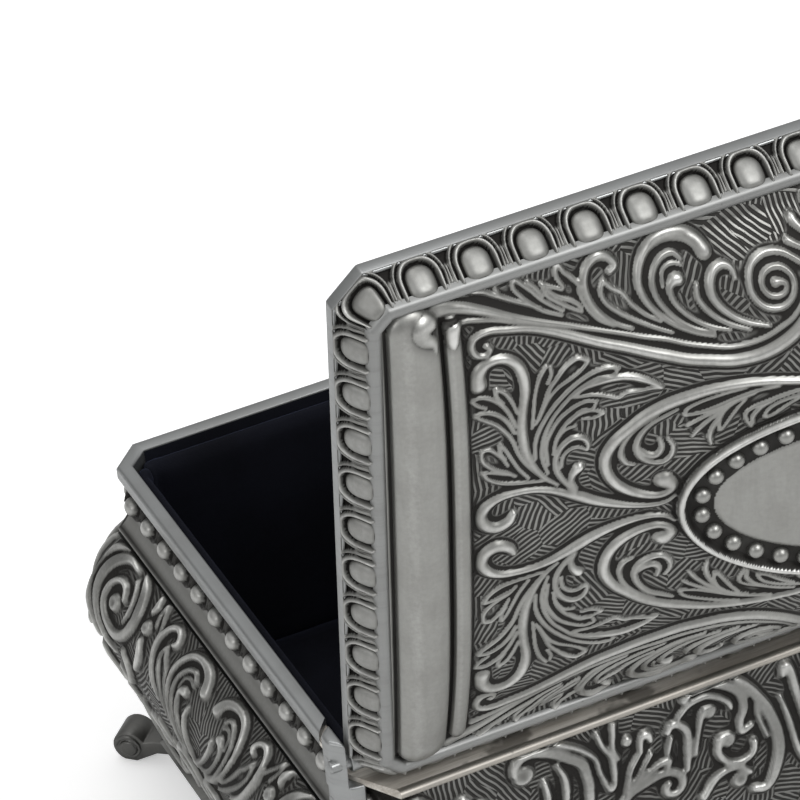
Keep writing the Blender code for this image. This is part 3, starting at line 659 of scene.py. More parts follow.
class Maker:
    """Turns bmeshes and grids into finished pieces of the scene."""

    def __init__(self, rack: Rack) -> None:
        """Keeps the rack of materials."""
        self.rack = rack

    def finish(self, name: str, mesh: bpy.types.Mesh, finish: Finish, body: Body,
               replaces: Sequence[str] = ()) -> bpy.types.Object:
        """Links a mesh as a piece that rides on a body.

        Args:
            name: The piece's name.
            mesh: Its mesh, in metres, in the box's frame.
            finish: What it is finished in.
            body: The group that it moves with.
            replaces: The solids that it stands for.

        Returns:
            The new object.
        """
        piece = bpy.data.objects.new(name, mesh)
        bpy.context.scene.collection.objects.link(piece)
        mesh.materials.clear()
        mesh.materials.append(self.rack.get(finish))
        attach(piece, body.value)
        if replaces:
            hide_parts(*replaces)
        LOG.info("%s: %d faces", name, len(mesh.polygons))
        return piece

    def from_bmesh(self, name: str, bm: bmesh.types.BMesh, finish: Finish, body: Body,
                   replaces: Sequence[str] = (), smooth: float = 40.0) -> bpy.types.Object:
        """Makes a piece of a bmesh.

        Args:
            name: The piece's name.
            bm: Its mesh, in metres, which is freed.
            finish: What it is finished in.
            body: The group that it moves with.
            replaces: The solids that it stands for.
            smooth: The angle above which an edge stays sharp, in degrees.

        Returns:
            The new object.
        """
        mesh = bpy.data.meshes.new(name)
        bm.to_mesh(mesh)
        bm.free()
        mesh.shade_smooth()
        mesh.set_sharp_from_angle(angle=math.radians(smooth))
        return self.finish(name, mesh, finish, body, replaces)

    def from_grid(self, name: str, points: np.ndarray, flat: np.ndarray,
                  numbers: dict[str, np.ndarray], finish: Finish, body: Body,
                  normals: np.ndarray) -> bpy.types.Object:
        """Makes a piece of a grid of points.

        Args:
            name: The piece's name.
            points: Rows by columns by three, in metres.
            flat: The grid's plan for the UV map, in millimetres.
            numbers: What the mesh carries at each point, by name.
            finish: What it is finished in.
            body: The group that it moves with.
            normals: The surface's normals, pointing out.

        Returns:
            The new object.
        """
        rows, columns = points.shape[:2]
        bm = bmesh.new()
        bmesh.ops.create_grid(bm, x_segments=columns - 1, y_segments=rows - 1, size=0.5)
        mesh = bpy.data.meshes.new(name)
        bm.to_mesh(mesh)
        bm.free()
        mesh.vertices.foreach_set("co", points.reshape(-1, 3).astype(np.float32).ravel())
        facing = normals.reshape(-1, 3).astype(np.float32)
        mesh.update()
        middle = mesh.polygons[len(mesh.polygons) // 2]
        if np.dot(middle.normal, facing[middle.vertices[0]]) < 0:
            mesh.flip_normals()
        layer = mesh.uv_layers.new(name="Relief")
        corner = np.zeros(len(mesh.loops), np.int32)
        mesh.loops.foreach_get("vertex_index", corner)
        layer.uv.foreach_set("vector", flat.reshape(-1, 2)[corner].astype(np.float32).ravel())
        for label, values in numbers.items():
            attribute = mesh.attributes.new(label, "FLOAT", "POINT")
            attribute.data.foreach_set("value", values.astype(np.float32).ravel())
        mesh.shade_smooth()
        mesh.normals_split_custom_set_from_vertices(facing.tolist())
        return self.finish(name, mesh, finish, body)


# The box's own shapes
def catmull(points: Sequence[tuple[float, float]], samples: int = 4) -> np.ndarray:
    """The curve that the lid's crest and the body's wall follow.

    Args:
        points: The places that it passes through.
        samples: How many points it has to each stretch.

    Returns:
        The curve's points as two columns.
    """
    p = np.array(points, float)
    p = np.vstack([p[0], p, p[-1]])
    out = []
    for a, b, c, d in zip(p, p[1:], p[2:], p[3:]):
        t = (np.arange(samples) / samples)[:, None]
        out.append(0.5 * (2 * b + (c - a) * t + (2 * a - 5 * b + 4 * c - d) * t ** 2
                          + (3 * b - a - 3 * c + d) * t ** 3))
    out.append(p[-1][None])
    return np.vstack(out)


def lid_place() -> Matrix:
    """Takes the closed lid's own millimetres to the open lid in metres.

    The closed lid's frame has x along the box, y back from the hinge side's edge (negative
    towards the front) and z up from the rim.

    Returns:
        The matrix.
    """
    pivot = Vector((0.0, -HINGE_IN, HINGE_UP))
    shift = Matrix.Translation((0.0, BACK_TO_MIDDLE, RIM_HEIGHT))
    turn = Matrix.Rotation(-OPEN_ANGLE, 4, "X")
    whole = shift @ Matrix.Translation(pivot) @ turn @ Matrix.Translation(-pivot)
    return Matrix.Scale(MM, 4) @ whole


def applied(matrix: Matrix, points: np.ndarray) -> np.ndarray:
    """Points, in any grid, taken through a matrix."""
    m = np.array(matrix)
    return points @ m[:3, :3].T + m[:3, 3]


@dataclass
class LidSurface:
    """The lid's plain dome and what is measured on it."""

    crest: Profile = (
        (4.1, 6.95), (7.5, 8.6), (12.0, 9.9), (18.0, 10.9), (26.0, 12.3), (34.0, 14.3),
        (42.0, 16.9), (50.0, 19.7), (58.0, 22.1), (67.0, 23.2))
    power: float = 3.2
    border_top: float = 6.95
    edge: float = 4.1

    def height(self, inset: np.ndarray, v: np.ndarray) -> np.ndarray:
        """The dome's height above the rim.

        Args:
            inset: Distance from the nearer end, in millimetres.
            v: Distance from the hinge side's edge.

        Returns:
            Heights in millimetres.
        """
        line = catmull(self.crest)
        up = np.minimum(np.abs(v - DEPTH / 2) / (DEPTH / 2 - self.edge), 1)
        rise = np.interp(inset, line[:, 0], line[:, 1]) - self.border_top
        return self.border_top + rise * (1 - up ** self.power)


# The ornament of a quarter of the lid: distance from the end, distance from the hinge side's
# edge, and half width
LID_LINES: tuple[Line, ...] = (
    # Long moulding from its small curl to the middle of the lid
    ((17.7, 73.7, .38), (18.2, 73.2, .42), (17.6, 72.5, .48), (16.4, 72.7, .5),
     (15.8, 73.9, .5), (16.3, 75.2, .5), (18.2, 75.7, .55), (20.5, 75.3, .6),
     (23.2, 74.7, .62), (25.8, 73.7, .66), (28.8, 72.2, .7), (32, 70.6, .75),
     (34.9, 69.4, .78), (37.9, 68.1, .82), (40, 67.3, .85), (42.5, 66.4, .88),
     (45, 65.9, .9), (47.5, 65.5, .92), (50, 65.6, .92), (52.2, 66.1, .92),
     (54.3, 67, .9), (56.2, 68.2, .88), (58.3, 70.0, .85), (60.3, 72.1, .8),
     (62.4, 73.9, .75), (64.7, 75.1, .7), (67, 75.5, .65)),
    # Ribbon off the narrow bar, and the ribbon off the wide bar that veins the fronds
    ((13.3, 75.4, .2), (13.2, 76.3, .8), (13.3, 77.2, 1.0), (14.1, 77.9, .7), (15.4, 77.95, .46),
     (17, 77.6, .44),
     (19, 77, .4), (21, 76.2, .36), (23, 75.5, .32), (25, 74.7, .3), (27, 73.7, .28),
     (29, 72.7, .24), (30.8, 71.8, .2)),
    ((11.0, 75.4, .12), (10.8, 76.9, .55), (9.5, 78.2, 1.0), (9.4, 79.5, 1.25), (12.2, 80.3, 1.15),
     (15, 79.8, .9),
     (18, 78.5, .7), (20.8, 77, .55), (23.5, 75.7, .45), (27.9, 73.9, .36), (31.1, 72.6, .34),
     (34.9, 71.2, .34), (37.6, 70.2, .34), (40, 69.5, .34), (42.5, 68.5, .34),
     (45, 67.8, .34), (47.5, 67.3, .34), (50, 67.4, .34), (52.2, 67.9, .34),
     (54.3, 68.8, .34), (56, 69.7, .34), (57.6, 71.2, .32), (59.0, 73.2, .3),
     (60.6, 75.2, .28)),
    # Fronds between the moulding and the border
    ((16.8, 81.5, .34), (18.3, 80.9, .36), (20, 79.9, .36), (21.8, 78.8, .32),
     (23.6, 77.8, .3), (25.2, 76.8, .26)),
    ((19.8, 81.0, .22), (20.2, 80.1, .24)),
    ((22.3, 81.4, .3), (22.1, 80.4, .26), (22.8, 79.2, .26), (23.9, 77.9, .28),
     (25, 76.8, .28), (26.2, 76, .28), (27.8, 75.2, .25)),
    ((22.3, 81.4, .24), (23.3, 80.5, .26), (24.4, 79.3, .26), (25.4, 78, .26),
     (26.8, 76.7, .26), (28, 75.8, .25)),
    ((24.1, 80.6, .22), (25.0, 79.5, .24), (25.7, 78.3, .24)),
    ((25.8, 79.8, .26), (26.3, 78.2, .28), (27.6, 77, .28), (29, 75.9, .26),
     (30.0, 75.2, .24)),
    ((25.8, 79.8, .22), (27, 79.1, .24), (28.4, 78.4, .24)),
    ((26.3, 79.0, .22), (27.6, 77.7, .25), (29.2, 76.8, .3), (30.2, 75.9, .28),
     (30.3, 75.0, .22)),
    ((28, 81.7, .34), (27.9, 80.2, .3), (28.6, 78.6, .28)),
    ((28.1, 81.8, .3), (29, 80.4, .3), (29.9, 79.4, .32), (30.8, 78.2, .34)),
    ((36.2, 71.6, .28), (34.6, 72.4, .34), (33.2, 73.5, .4), (32, 75.1, .44),
     (31.3, 76.9, .48), (31.2, 78.6, .54), (31.9, 80.2, .6), (33.4, 81, .64),
     (34.9, 80.6, .56), (35.5, 79.6, .55), (34.8, 79.1, .5)),
    ((30.6, 79, .26), (30.5, 77.2, .28), (31.2, 75.2, .28), (32.4, 73.5, .28),
     (34, 72.4, .26)),
    ((33.6, 78.2, .28), (33.1, 76.8, .3), (33.7, 75.2, .3), (35.2, 73.7, .3),
     (37, 72.4, .3), (39, 71.2, .28), (41, 70.2, .24)),
    ((33.7, 78.2, .26), (34.6, 77, .28), (35.7, 76.2, .26), (36.2, 75.4, .26),
     (36.9, 74.3, .28), (38.2, 73, .28), (39.8, 71.9, .26)),
    ((46, 69.0, .28), (44, 69.7, .34), (42, 70.8, .38), (40.3, 72.2, .42), (38.9, 73.9, .46),
     (38.2, 75.5, .5), (38, 77.1, .55), (38.7, 79, .62), (40.2, 80.5, .68),
     (42.5, 81.1, .75), (44.9, 80.8, .85), (46.4, 79.9, .98), (47.1, 78.7, 1.05)),
    ((46, 69.5, .26), (44, 70.2, .3), (42.2, 71.4, .34), (40.8, 73, .38), (39.9, 74.7, .4),
     (39.7, 76.5, .42), (40.3, 78, .44), (41.6, 79.1, .46), (43.1, 79.3, .42),
     (44.0, 78.5, .32)),
    ((40.9, 75.9, .24), (41.3, 77.6, .26), (42.6, 78.2, .27), (43.9, 77.8, .22)),
    ((48, 69.4, .25), (46, 70.1, .28), (44.4, 71, .32), (42.9, 72.4, .34), (41.9, 74, .38),
     (41.7, 75.6, .46), (42.5, 76.4, .8), (43.0, 76.4, .8)),
    ((45.1, 75.3, .3), (44.9, 73.9, .36), (45.6, 72.4, .4), (46.9, 71, .36),
     (48.6, 69.9, .32), (50.4, 69.1, .26)),
    ((52.9, 69.2, .26), (50.7, 69.9, .36), (49, 70.8, .44), (47.5, 72.2, .54),
     (46.7, 73.8, .62), (46.8, 75.3, .66), (47.6, 76.5, .64), (48.9, 76.9, .52),
     (49.9, 76.3, .38), (50.1, 75.2, .3)),
    # Volute
    ((54.8, 73.9, .62), (55.3, 73.9, .5), (56.1, 73.6, .36), (55.9, 72.8, .36),
     (54.9, 72.4, .38), (53.7, 72.7, .4), (53.1, 73.8, .4), (53.6, 75, .4), (54.9, 75.5, .4),
     (56.3, 75.2, .42), (57.2, 73.9, .42), (56.6, 72.1, .42), (54.8, 71.1, .44),
     (52.7, 71.6, .46), (51.6, 73.5, .46), (52.2, 75.9, .46), (54.2, 77.0, .46),
     (56.5, 76.8, .44), (58.4, 75.6, .4), (59.6, 74.6, .32)),
    # Fan at the middle of the long side
    ((62.4, 76.0, .3), (61.0, 77.3, .42), (59.6, 78.9, .6), (59.4, 79.4, .66)),
    ((60.4, 76.2, .28), (59.0, 76.9, .4), (57.9, 77.6, .5)),
    ((64.0, 76.8, .3), (62.9, 78.6, .46), (61.9, 80.6, .66)),
    ((65.4, 77.2, .3), (64.9, 79.0, .46), (64.5, 81.2, .66)),
    ((67, 77.2, .34), (67, 79.2, .5), (67, 81.3, .7)),
    # Comma scroll with its leaves
    ((16.2, 68.3, 1.15), (16.3, 69.8, 1.0), (17.2, 71.1, .85), (18.7, 71.5, .75),
     (20.2, 71.1, .75), (21.4, 69.9, .78), (22.0, 68.1, .78), (22.1, 66, .72),
     (21.7, 63.5, .68), (21.4, 61, .75), (21.5, 58.4, .75), (21.9, 56, .68),
     (22.8, 53.6, .52), (24.2, 51.3, .4), (25.8, 49.8, .3)),
    ((15.1, 66.2, .26), (16.5, 66.4, .3), (18, 65.6, .32), (19.2, 64.3, .32),
     (20, 62.8, .34), (20.7, 60.8, .36)),
    ((15.1, 66.1, .22), (16.0, 65.2, .24), (17.0, 64.6, .2)),
    ((15.5, 63.9, .26), (17, 63.9, .3), (18.5, 63.1, .32), (19.6, 61.8, .34),
     (20.5, 59.8, .34)),
    ((15.4, 63.7, .22), (16.8, 62.7, .26), (18.2, 61.6, .28), (19.3, 60.2, .32),
     (20.2, 58.6, .34), (20.8, 56.5, .32), (21.7, 54.5, .3), (23.2, 52.3, .25)),
    ((18.4, 67.2, .24), (18.4, 66.1, .24), (19.2, 64.8, .24)),
    ((18.4, 67.2, .24), (19.6, 66.2, .28), (20.4, 64.6, .3), (20.9, 62.8, .28)),
    ((16.3, 57.9, .26), (17.2, 57.9, .26), (18.1, 57, .26), (18.9, 55.9, .26),
     (19.5, 54.6, .22)),
    ((16.2, 57.8, .24), (16.2, 56.4, .26), (17, 55.2, .26), (18.3, 54.2, .26),
     (19.4, 53.6, .26), (20.4, 52.6, .24)),
    ((18.6, 58.4, .24), (19.3, 57.2, .26), (20.1, 55.4, .26), (20.9, 53.7, .26),
     (22.1, 51.9, .24)),
    ((18.5, 58.2, .2), (18.6, 57, .22), (19.2, 55.8, .2)),
    ((16.2, 54.4, .24), (17.4, 54.1, .26), (18.8, 53.5, .26), (20, 53, .22)),
    ((16.2, 54.2, .24), (17, 53, .26), (18.5, 52, .28), (20.3, 51.5, .3), (22.2, 51.2, .3),
     (24, 50.9, .26)),
    # Spray of leaves to the right of the comma scroll
    ((22.7, 59.9, .26), (23, 62.5, .28), (23.3, 64.8, .28), (24, 67.2, .28), (25, 68.8, .26)),
    ((23.2, 60.4, .26), (23.9, 62, .28), (24.6, 63.8, .28), (25.1, 65.2, .28),
     (26.2, 66.7, .32), (27.5, 68.2, .34), (28.9, 69, .34), (29.8, 68.7, .28),
     (30.4, 68.4, .22)),
    ((25.5, 68.6, .2), (25.6, 67.6, .24), (25.0, 66.2, .22)),
    ((30.4, 68.4, .24), (29.4, 67.3, .26), (28, 66.3, .26), (26.4, 65.4, .26),
     (25.2, 64.2, .26), (24.4, 62.8, .26), (23.6, 61, .25)),
    ((23, 54.8, .32), (23, 57, .34), (23.5, 59, .34), (24.6, 61.2, .34), (26.2, 63.3, .34),
     (28.3, 65.2, .34), (30.6, 66.5, .34), (32.7, 66.9, .32), (33.9, 66.5, .25)),
    ((33.7, 66.2, .24), (33, 65.7, .22), (31.1, 65.6, .28), (28.5, 64.3, .3),
     (27, 62.8, .3), (25.5, 61, .3), (24.4, 58.8, .3), (23.9, 56.6, .3), (23.9, 54.4, .28),
     (24.6, 52.0, .26)),
    ((28.0, 63.5, .28), (29.4, 64.5, .36), (31.2, 65.0, .46), (33.4, 65.3, .56),
     (35.2, 65.1, .56), (36.8, 64.4, .5), (38.1, 63.6, .36), (39, 62.9, .24)),
    ((28.2, 63.4, .26), (30.5, 63.3, .27), (32.3, 62.7, .26), (33.6, 62.2, .26),
     (34.6, 62.8, .26), (36, 62.8, .26), (37.8, 63, .3), (39, 62.8, .24)),
    ((24.6, 53.4, .3), (24.4, 56.5, .32), (25, 58.5, .32), (26.2, 60.5, .32),
     (28, 61.9, .3), (29.6, 62.5, .3), (30.9, 62.2, .25)),
    ((30.9, 62.1, .22), (30.4, 61.2, .2), (29, 61.2, .24), (27.8, 60.3, .26),
     (26.6, 59, .27), (25.7, 57.2, .27), (25.3, 55, .25)),
    ((31.8, 60.3, .24), (30.3, 60.9, .22), (28.6, 60.6, .24), (27.4, 59.6, .22)),
    ((31.8, 60.2, .22), (30.5, 59.7, .22), (29.2, 59.8, .22)),
    ((28.2, 58.9, .22), (26.9, 58.6, .24), (26, 57.5, .24), (25.4, 55.8, .22)),
    # Curl with a ball at the foot of the spray
    ((27.9, 48.3, .5), (26.6, 50.2, .46), (25.7, 52.2, .42), (25.6, 54.2, .42),
     (26.4, 56.1, .46), (27.8, 57.1, .46), (29.1, 56.7, .36), (29.7, 55.6, .28),
     (29.6, 54.7, .22)),
    ((26.3, 52.6, .28), (26.5, 54.3, .3), (27.4, 55.3, .3), (28.5, 55.4, .26),
     (29.5, 54.7, .22)),
    ((27.9, 48.6, .5), (27.5, 49.9, .46), (27.7, 51.1, .55), (28.3, 51.9, .72),
     (28.5, 52.1, .7)),
    # Hairpin band beside the cartouche
    ((20.1, 46.4, .5), (19.4, 45.3, .8), (17.9, 44.7, 1.0), (16.4, 45.5, .9),
     (15.9, 47.2, .82), (16.8, 48.8, .75), (18.5, 49.7, .62), (20.8, 49.9, .54),
     (23, 49.7, .55), (25, 49.1, .62), (26.8, 48.2, .74), (28.5, 47.2, .84),
     (30.3, 46.1, .78), (32.5, 45.1, .65), (35, 44.3, .5), (37.5, 43.95, .4),
     (39.3, 44.3, .32), (40.4, 45.2, .26)),
    # Big C-scroll with its ball, inner ridge and hook
    ((39.0, 47.9, 1.3), (39.9, 47.0, .8), (39.5, 46.1, .62), (38.2, 45.6, .62),
     (36.3, 46, .68), (34.2, 47.2, .74), (32.6, 49, .74), (31.8, 51.2, .74),
     (31.9, 53.4, .78), (33.1, 55.6, .82), (35, 57.4, .86), (37, 59, .9), (39.5, 60.3, .9),
     (42, 61.1, .86), (45, 61.8, .76), (48.5, 62.1, .68), (52, 62, .62), (55, 61.6, .6),
     (57.5, 61.2, .58), (60, 60.7, .56), (63, 60.2, .55), (67, 60.0, .55)),
    ((38.3, 58.9, .26), (36.5, 57.8, .36), (34.9, 56.3, .38), (33.9, 54.6, .38),
     (33.7, 53, .4), (34.2, 51.7, .36), (35.3, 51.1, .25)),
    ((40.6, 59.3, .26), (39.2, 58.6, .36), (37.4, 57.6, .42), (36.1, 56, .44),
     (35.6, 54.2, .46), (36, 52.5, .5), (37.3, 51.4, .48), (38.8, 51.2, .42),
     (39.8, 52.2, .36), (40, 53.6, .3), (39.4, 54.8, .24)),
    ((36.0, 53.6, .34), (36.8, 52.7, .6), (37.9, 52.5, .6), (38.6, 53.5, .42),
     (38.4, 54.9, .26)),
    # Leaves between the C-scroll and the cartouche
    ((41.4, 58.3, .24), (41.9, 59.3, .26), (43.7, 60.2, .28), (46.4, 61, .3),
     (49, 61.5, .3)),
    ((41.5, 58.2, .24), (43.5, 58.5, .27), (45.5, 59.2, .3), (48, 60.2, .32),
     (50.5, 60.9, .32), (53, 61.2, .3)),
    ((41.7, 56.5, .22), (42.7, 57.2, .3), (44.4, 58.2, .34), (46.6, 59.4, .26)),
    ((42.3, 54.7, .2), (43.0, 55.8, .3), (44.2, 57.1, .36), (46.2, 58.9, .28)),
    ((44.6, 53.1, .2), (44.4, 54.6, .32), (44.9, 56.4, .36), (46.2, 58.5, .3)),
    ((45.5, 55.4, .24), (45.6, 57, .27), (46.4, 58.6, .27), (48, 59.8, .27),
     (50, 60.5, .26)),
    ((45.8, 55.4, .22), (46.8, 57, .24), (47.9, 58.7, .24), (48.8, 59.7, .22)),
    ((49.4, 55.4, .24), (48.8, 56.6, .24), (48.8, 57.7, .24), (49.8, 58.5, .25),
     (51.5, 59.1, .27), (53.8, 59.9, .3), (56, 60.4, .28)),
    ((49.7, 55.8, .2), (49.6, 57, .34), (50.6, 58.3, .3), (52.2, 59.2, .22)),
    ((51, 56.7, .24), (51.3, 57.6, .24), (52.3, 58.5, .26), (54, 59.2, .28),
     (56.5, 59.8, .27), (59, 60.2, .25)),
    ((51.2, 56.6, .22), (52.3, 57.1, .24), (53.8, 58.2, .25), (55.8, 59.3, .24)),
    ((56.2, 57.6, .24), (56.6, 58.4, .26), (58.2, 59.2, .28), (60.5, 59.8, .26),
     (63, 60, .24)),
    ((56.4, 57.5, .22), (57.8, 58.0, .25), (59.6, 58.9, .25), (61.6, 59.4, .22)),
    ((61.6, 58.3, .24), (62.6, 58.9, .26), (64.6, 59.4, .27), (67, 59.5, .25)),
)
# Which lines are the two ribbons, and how many of their points lie on the bars' ends
RIBBONS = (1, 2)
ON_BARS = 4


@dataclass
class Quarter:
    """One quarter of the lid's field, a grid of numbers in each array.

    The lines are the raised ornament alone. Plain is 1 on the smooth parts, the bars' stripe
    is a painted highlight along each bar, and channel holds a painted shadow round the beads.
    """

    u: np.ndarray
    v: np.ndarray
    height: np.ndarray
    lines: np.ndarray
    ground: np.ndarray
    plain: np.ndarray
    painted_highlight: np.ndarray
    channel: np.ndarray

    def layers(self) -> tuple[np.ndarray, np.ndarray, np.ndarray, np.ndarray]:
        """The heights and the three numbers that the finish reads.

        Returns:
            Height, ground, cavity and crest.
        """
        cavity = hollows(self.height, self.lines, self.ground, 0.40, 0.34)
        # Painted shadow round the beads from channel; plain parts get half the patina and painted
        # shade
        cavity = np.where(self.plain > 0.5, cavity * 0.5, np.maximum(cavity, self.channel))
        # Wear and a painted highlight on the crests, plus the bars' painted highlight stripe
        crest = (crest_of(self.height, 5, 0.55) * (1 - self.plain)
                 + self.painted_highlight * self.plain * 0.38)
        return self.height, self.ground, cavity, crest


@dataclass
class Lid:
    """The lid's domed field with its bars, cartouche and beads, and its two knuckles."""

    make: Maker
    surface: LidSurface = field(default_factory=LidSurface)
    step: float = 0.165
    start: float = 3.6
    ground: float = -0.95
    wide_bar: Triple = (4.95, 11.8, 1.75)
    narrow_bar: Triple = (12.1, 14.6, 0.95)
    oval: tuple[float, float] = (25.9, 14.9)
    oval_half_width: float = 0.62
    bead_ring: tuple[float, float] = (23.6, 12.6)
    bead_radius: float = 1.15
    bead_pitch: float = 3.42
    bead_sunk: float = 0.76
    knuckle: Triple = (63.1, 1.5, 7.2)

    def quarter(self, hooked: bool) -> Quarter:
        """The relief of one quarter of the lid.

        Args:
            hooked: Whether the two ribbons curl over the ends of the bars.

        Returns:
            The quarter's grids.
        """
        across = int(round((HALF_LENGTH - self.start) / self.step))
        down = int(round((DEPTH / 2 - self.start) / self.step))
        u = np.linspace(self.start, HALF_LENGTH, across + 1)
        v = np.linspace(DEPTH / 2, DEPTH - self.start, down + 1)
        relief = ReliefField(u, v)
        for k, line in enumerate(LID_LINES):
            relief.raise_line(line if hooked or k not in RIBBONS else line[ON_BARS:])
        uu, vv = np.meshgrid(u, v)
        raised = filled(relief.height, 4, 0.26)
        ground = 1 - np.clip((raised - 0.03) / 0.12, 0, 1)
        inset = np.minimum(uu, DEPTH - vv)
        height = raised + self.ground + 0.5 * np.clip(1 - (inset - 4.2) / 1.1, 0, 1)
        level = np.zeros_like(raised)
        made = Quarter(u, v, height, relief.height, ground, level, level, level)
        self.add_bars(made, uu, vv)
        self.add_oval(made, uu, vv)
        made.height = blurred(made.height, 1, 1)
        return made

    def add_bars(self, made: Quarter, uu: np.ndarray, vv: np.ndarray) -> None:
        """Lays the two round-ended bars and the small step beside them under the ribbons.

        Args:
            made: The quarter that they are added to.
            uu: Distance from the end at each point of the grid.
            vv: Distance from the hinge side's edge.
        """
        outside = -9
        far = DEPTH - 4.0
        for low, high, rise in (self.wide_bar, self.narrow_bar):
            middle, half = (low + high) / 2, (high - low) / 2
            end = far - (0.0 if half > 2 else 2.6)
            beyond = np.clip(vv - (end - half), 0, None)
            reach = np.abs((uu - middle) / half) ** 2.0 + (beyond / half) ** 2.0
            bar = np.where(reach < 1, -0.45 + rise * np.clip(1 - reach, 0, 1) ** 0.5, outside)
            made.plain = np.where((bar > -1) & (made.lines < 0.1), 1.0, made.plain)
            made.height = np.maximum(made.height,
                                     np.where(reach < 1, bar + made.lines * 0.42, outside))
            # Painted highlight: a soft bright stripe along each bar, to one side of its middle
            off_highlight = (uu - middle + 0.3 * half) / (0.42 * half)
            made.painted_highlight = np.maximum(made.painted_highlight,
                                     np.where(reach < 1, np.exp(-off_highlight ** 2), 0))
        step = 1 - ((uu - 4.40) / 0.46) ** 2
        made.height = np.maximum(made.height, np.where(
            step > 0, -0.6 + 0.45 * np.sqrt(np.clip(step, 0, 1)), outside))
        made.ground = np.where(uu < self.narrow_bar[1] + 0.35, 0.0, made.ground)

    def add_oval(self, made: Quarter, uu: np.ndarray, vv: np.ndarray) -> None:
        """Lays the cartouche: the oval band, the channel for the beads and the plain plate.

        Args:
            made: The quarter that it is added to.
            uu: Distance from the end at each point of the grid.
            vv: Distance from the hinge side's edge.
        """
        a, b = self.oval
        x, y = uu - HALF_LENGTH, vv - DEPTH / 2
        radius = np.sqrt((x / a) ** 2 + (y / b) ** 2)
        gradient = np.sqrt((x / a ** 2) ** 2 + (y / b ** 2) ** 2)
        off = (radius - 1) * np.maximum(radius, 1e-3) / np.maximum(gradient, 1e-3 / b)
        band = np.clip(1 - (off / self.oval_half_width) ** 2, 0, 1) ** 0.45
        sunk = -0.95 + 0.35 * np.clip((-off - 3.7) / 0.7, 0, 1) ** 0.8
        made.height = np.maximum(np.where(off < 0, sunk, made.height), -0.9 + 1.30 * band)
        made.ground = np.where(off < self.oval_half_width, 0.0, made.ground)
        made.plain = np.where(off < -4.4, 1.0, made.plain)
        # Painted shadow round the beads: a dark band over the channel that they sit in
        made.channel = np.where((off < -0.3) & (off > -4.0), 0.52, 0.0)

    def build_field(self) -> None:
        """Makes the domed field in four strips of one continuous relief."""
        quarters = [self.quarter(hooked) for hooked in (False, True)]
        layers = [made.layers() for made in quarters]

        def whole(layer: int) -> np.ndarray:
            """The hinge side's and the front's quarters, mirrored to the whole lid.

            Args:
                layer: Which of a quarter's layers.

            Returns:
                The whole lid's grid.
            """
            near, far = layers[0][layer], layers[1][layer]
            half = np.concatenate([near[:0:-1], far], axis=0)
            return np.concatenate([half, half[:, -2::-1]], axis=1)

        height, ground_all, cavity_all, crest_all = (whole(k) for k in range(4))
        u, v = quarters[0].u, quarters[0].v
        inset = np.concatenate([u, u[-2::-1]])
        x = np.concatenate([HALF_LENGTH - u, -(HALF_LENGTH - u[-2::-1])])
        rows = np.concatenate([DEPTH - v[:0:-1], v])
        inset_grid, v_grid = np.meshgrid(inset, rows)
        x_grid = np.meshgrid(x, rows)[0]
        base = self.surface.height(inset_grid, v_grid)
        points = np.stack([x_grid, -v_grid, base], axis=2)
        centre = (len(rows) // 2, len(x) // 2)
        up = (0.0, 0.0, 1.0)
        points = points + turned_to(grid_normals(points), up, *centre) * height[..., None]
        facing = turned_to(grid_normals(points), up, *centre)
        flat = np.stack([x_grid + HALF_LENGTH, v_grid], axis=2)
        place = lid_place()
        world = applied(place, points)
        turned = facing @ np.array(place.to_3x3() * (1 / MM)).T
        cuts = np.linspace(0, len(x) - 1, 5).astype(int)
        for k, side in enumerate(("right", "right_middle", "left_middle", "left")):
            part = (slice(None), slice(cuts[k], cuts[k + 1] + 1))
            numbers = {"cavity": cavity_all[part], "ground": ground_all[part],
                       "crest": crest_all[part]}
            self.make.from_grid(f"lid_relief_{side}", world[part], flat[part], numbers,
                                RELIEF, Body.LID, turned[part])

    def spot(self, x: float, v: float, lift: float) -> Vector:
        """A place off the dome, in the closed lid's millimetres.

        Args:
            x: Distance along the box from its middle.
            v: Distance from the hinge side's edge.
            lift: How far the place lies off the dome, along its normal.

        Returns:
            The place.
        """
        def up(px: float, pv: float) -> float:
            """The dome's height at a place."""
            return float(self.surface.height(np.array(HALF_LENGTH - abs(px)), np.array(pv)))

        slope_x = (up(x + 0.1, v) - up(x - 0.1, v)) / 0.2
        slope_v = (up(x, v + 0.1) - up(x, v - 0.1)) / 0.2
        out = Vector((-slope_x, slope_v, 1.0)).normalized()
        return Vector((x, -v, up(x, v))) + out * lift

    def build_beads(self) -> None:
        """The ring of beads inside the oval band."""
        a, b = self.bead_ring
        turn = np.linspace(0, 2 * math.pi, 721)
        run = np.concatenate([[0], np.cumsum(np.hypot(np.diff(a * np.cos(turn)),
                                                      np.diff(b * np.sin(turn))))])
        count = round(run[-1] / self.bead_pitch)
        bm = bmesh.new()
        for k in range(count):
            t = float(np.interp((k + 0.5) / count * run[-1], run, turn))
            where = self.spot(a * math.cos(t), DEPTH / 2 + b * math.sin(t), -self.bead_sunk)
            bmesh.ops.create_icosphere(bm, subdivisions=3, radius=self.bead_radius,
                                       matrix=Matrix.Translation(where))
        bmesh.ops.transform(bm, matrix=lid_place(), verts=bm.verts)
        self.make.from_bmesh("cartouche_beads", bm, BEAD, Body.LID, smooth=180.0)

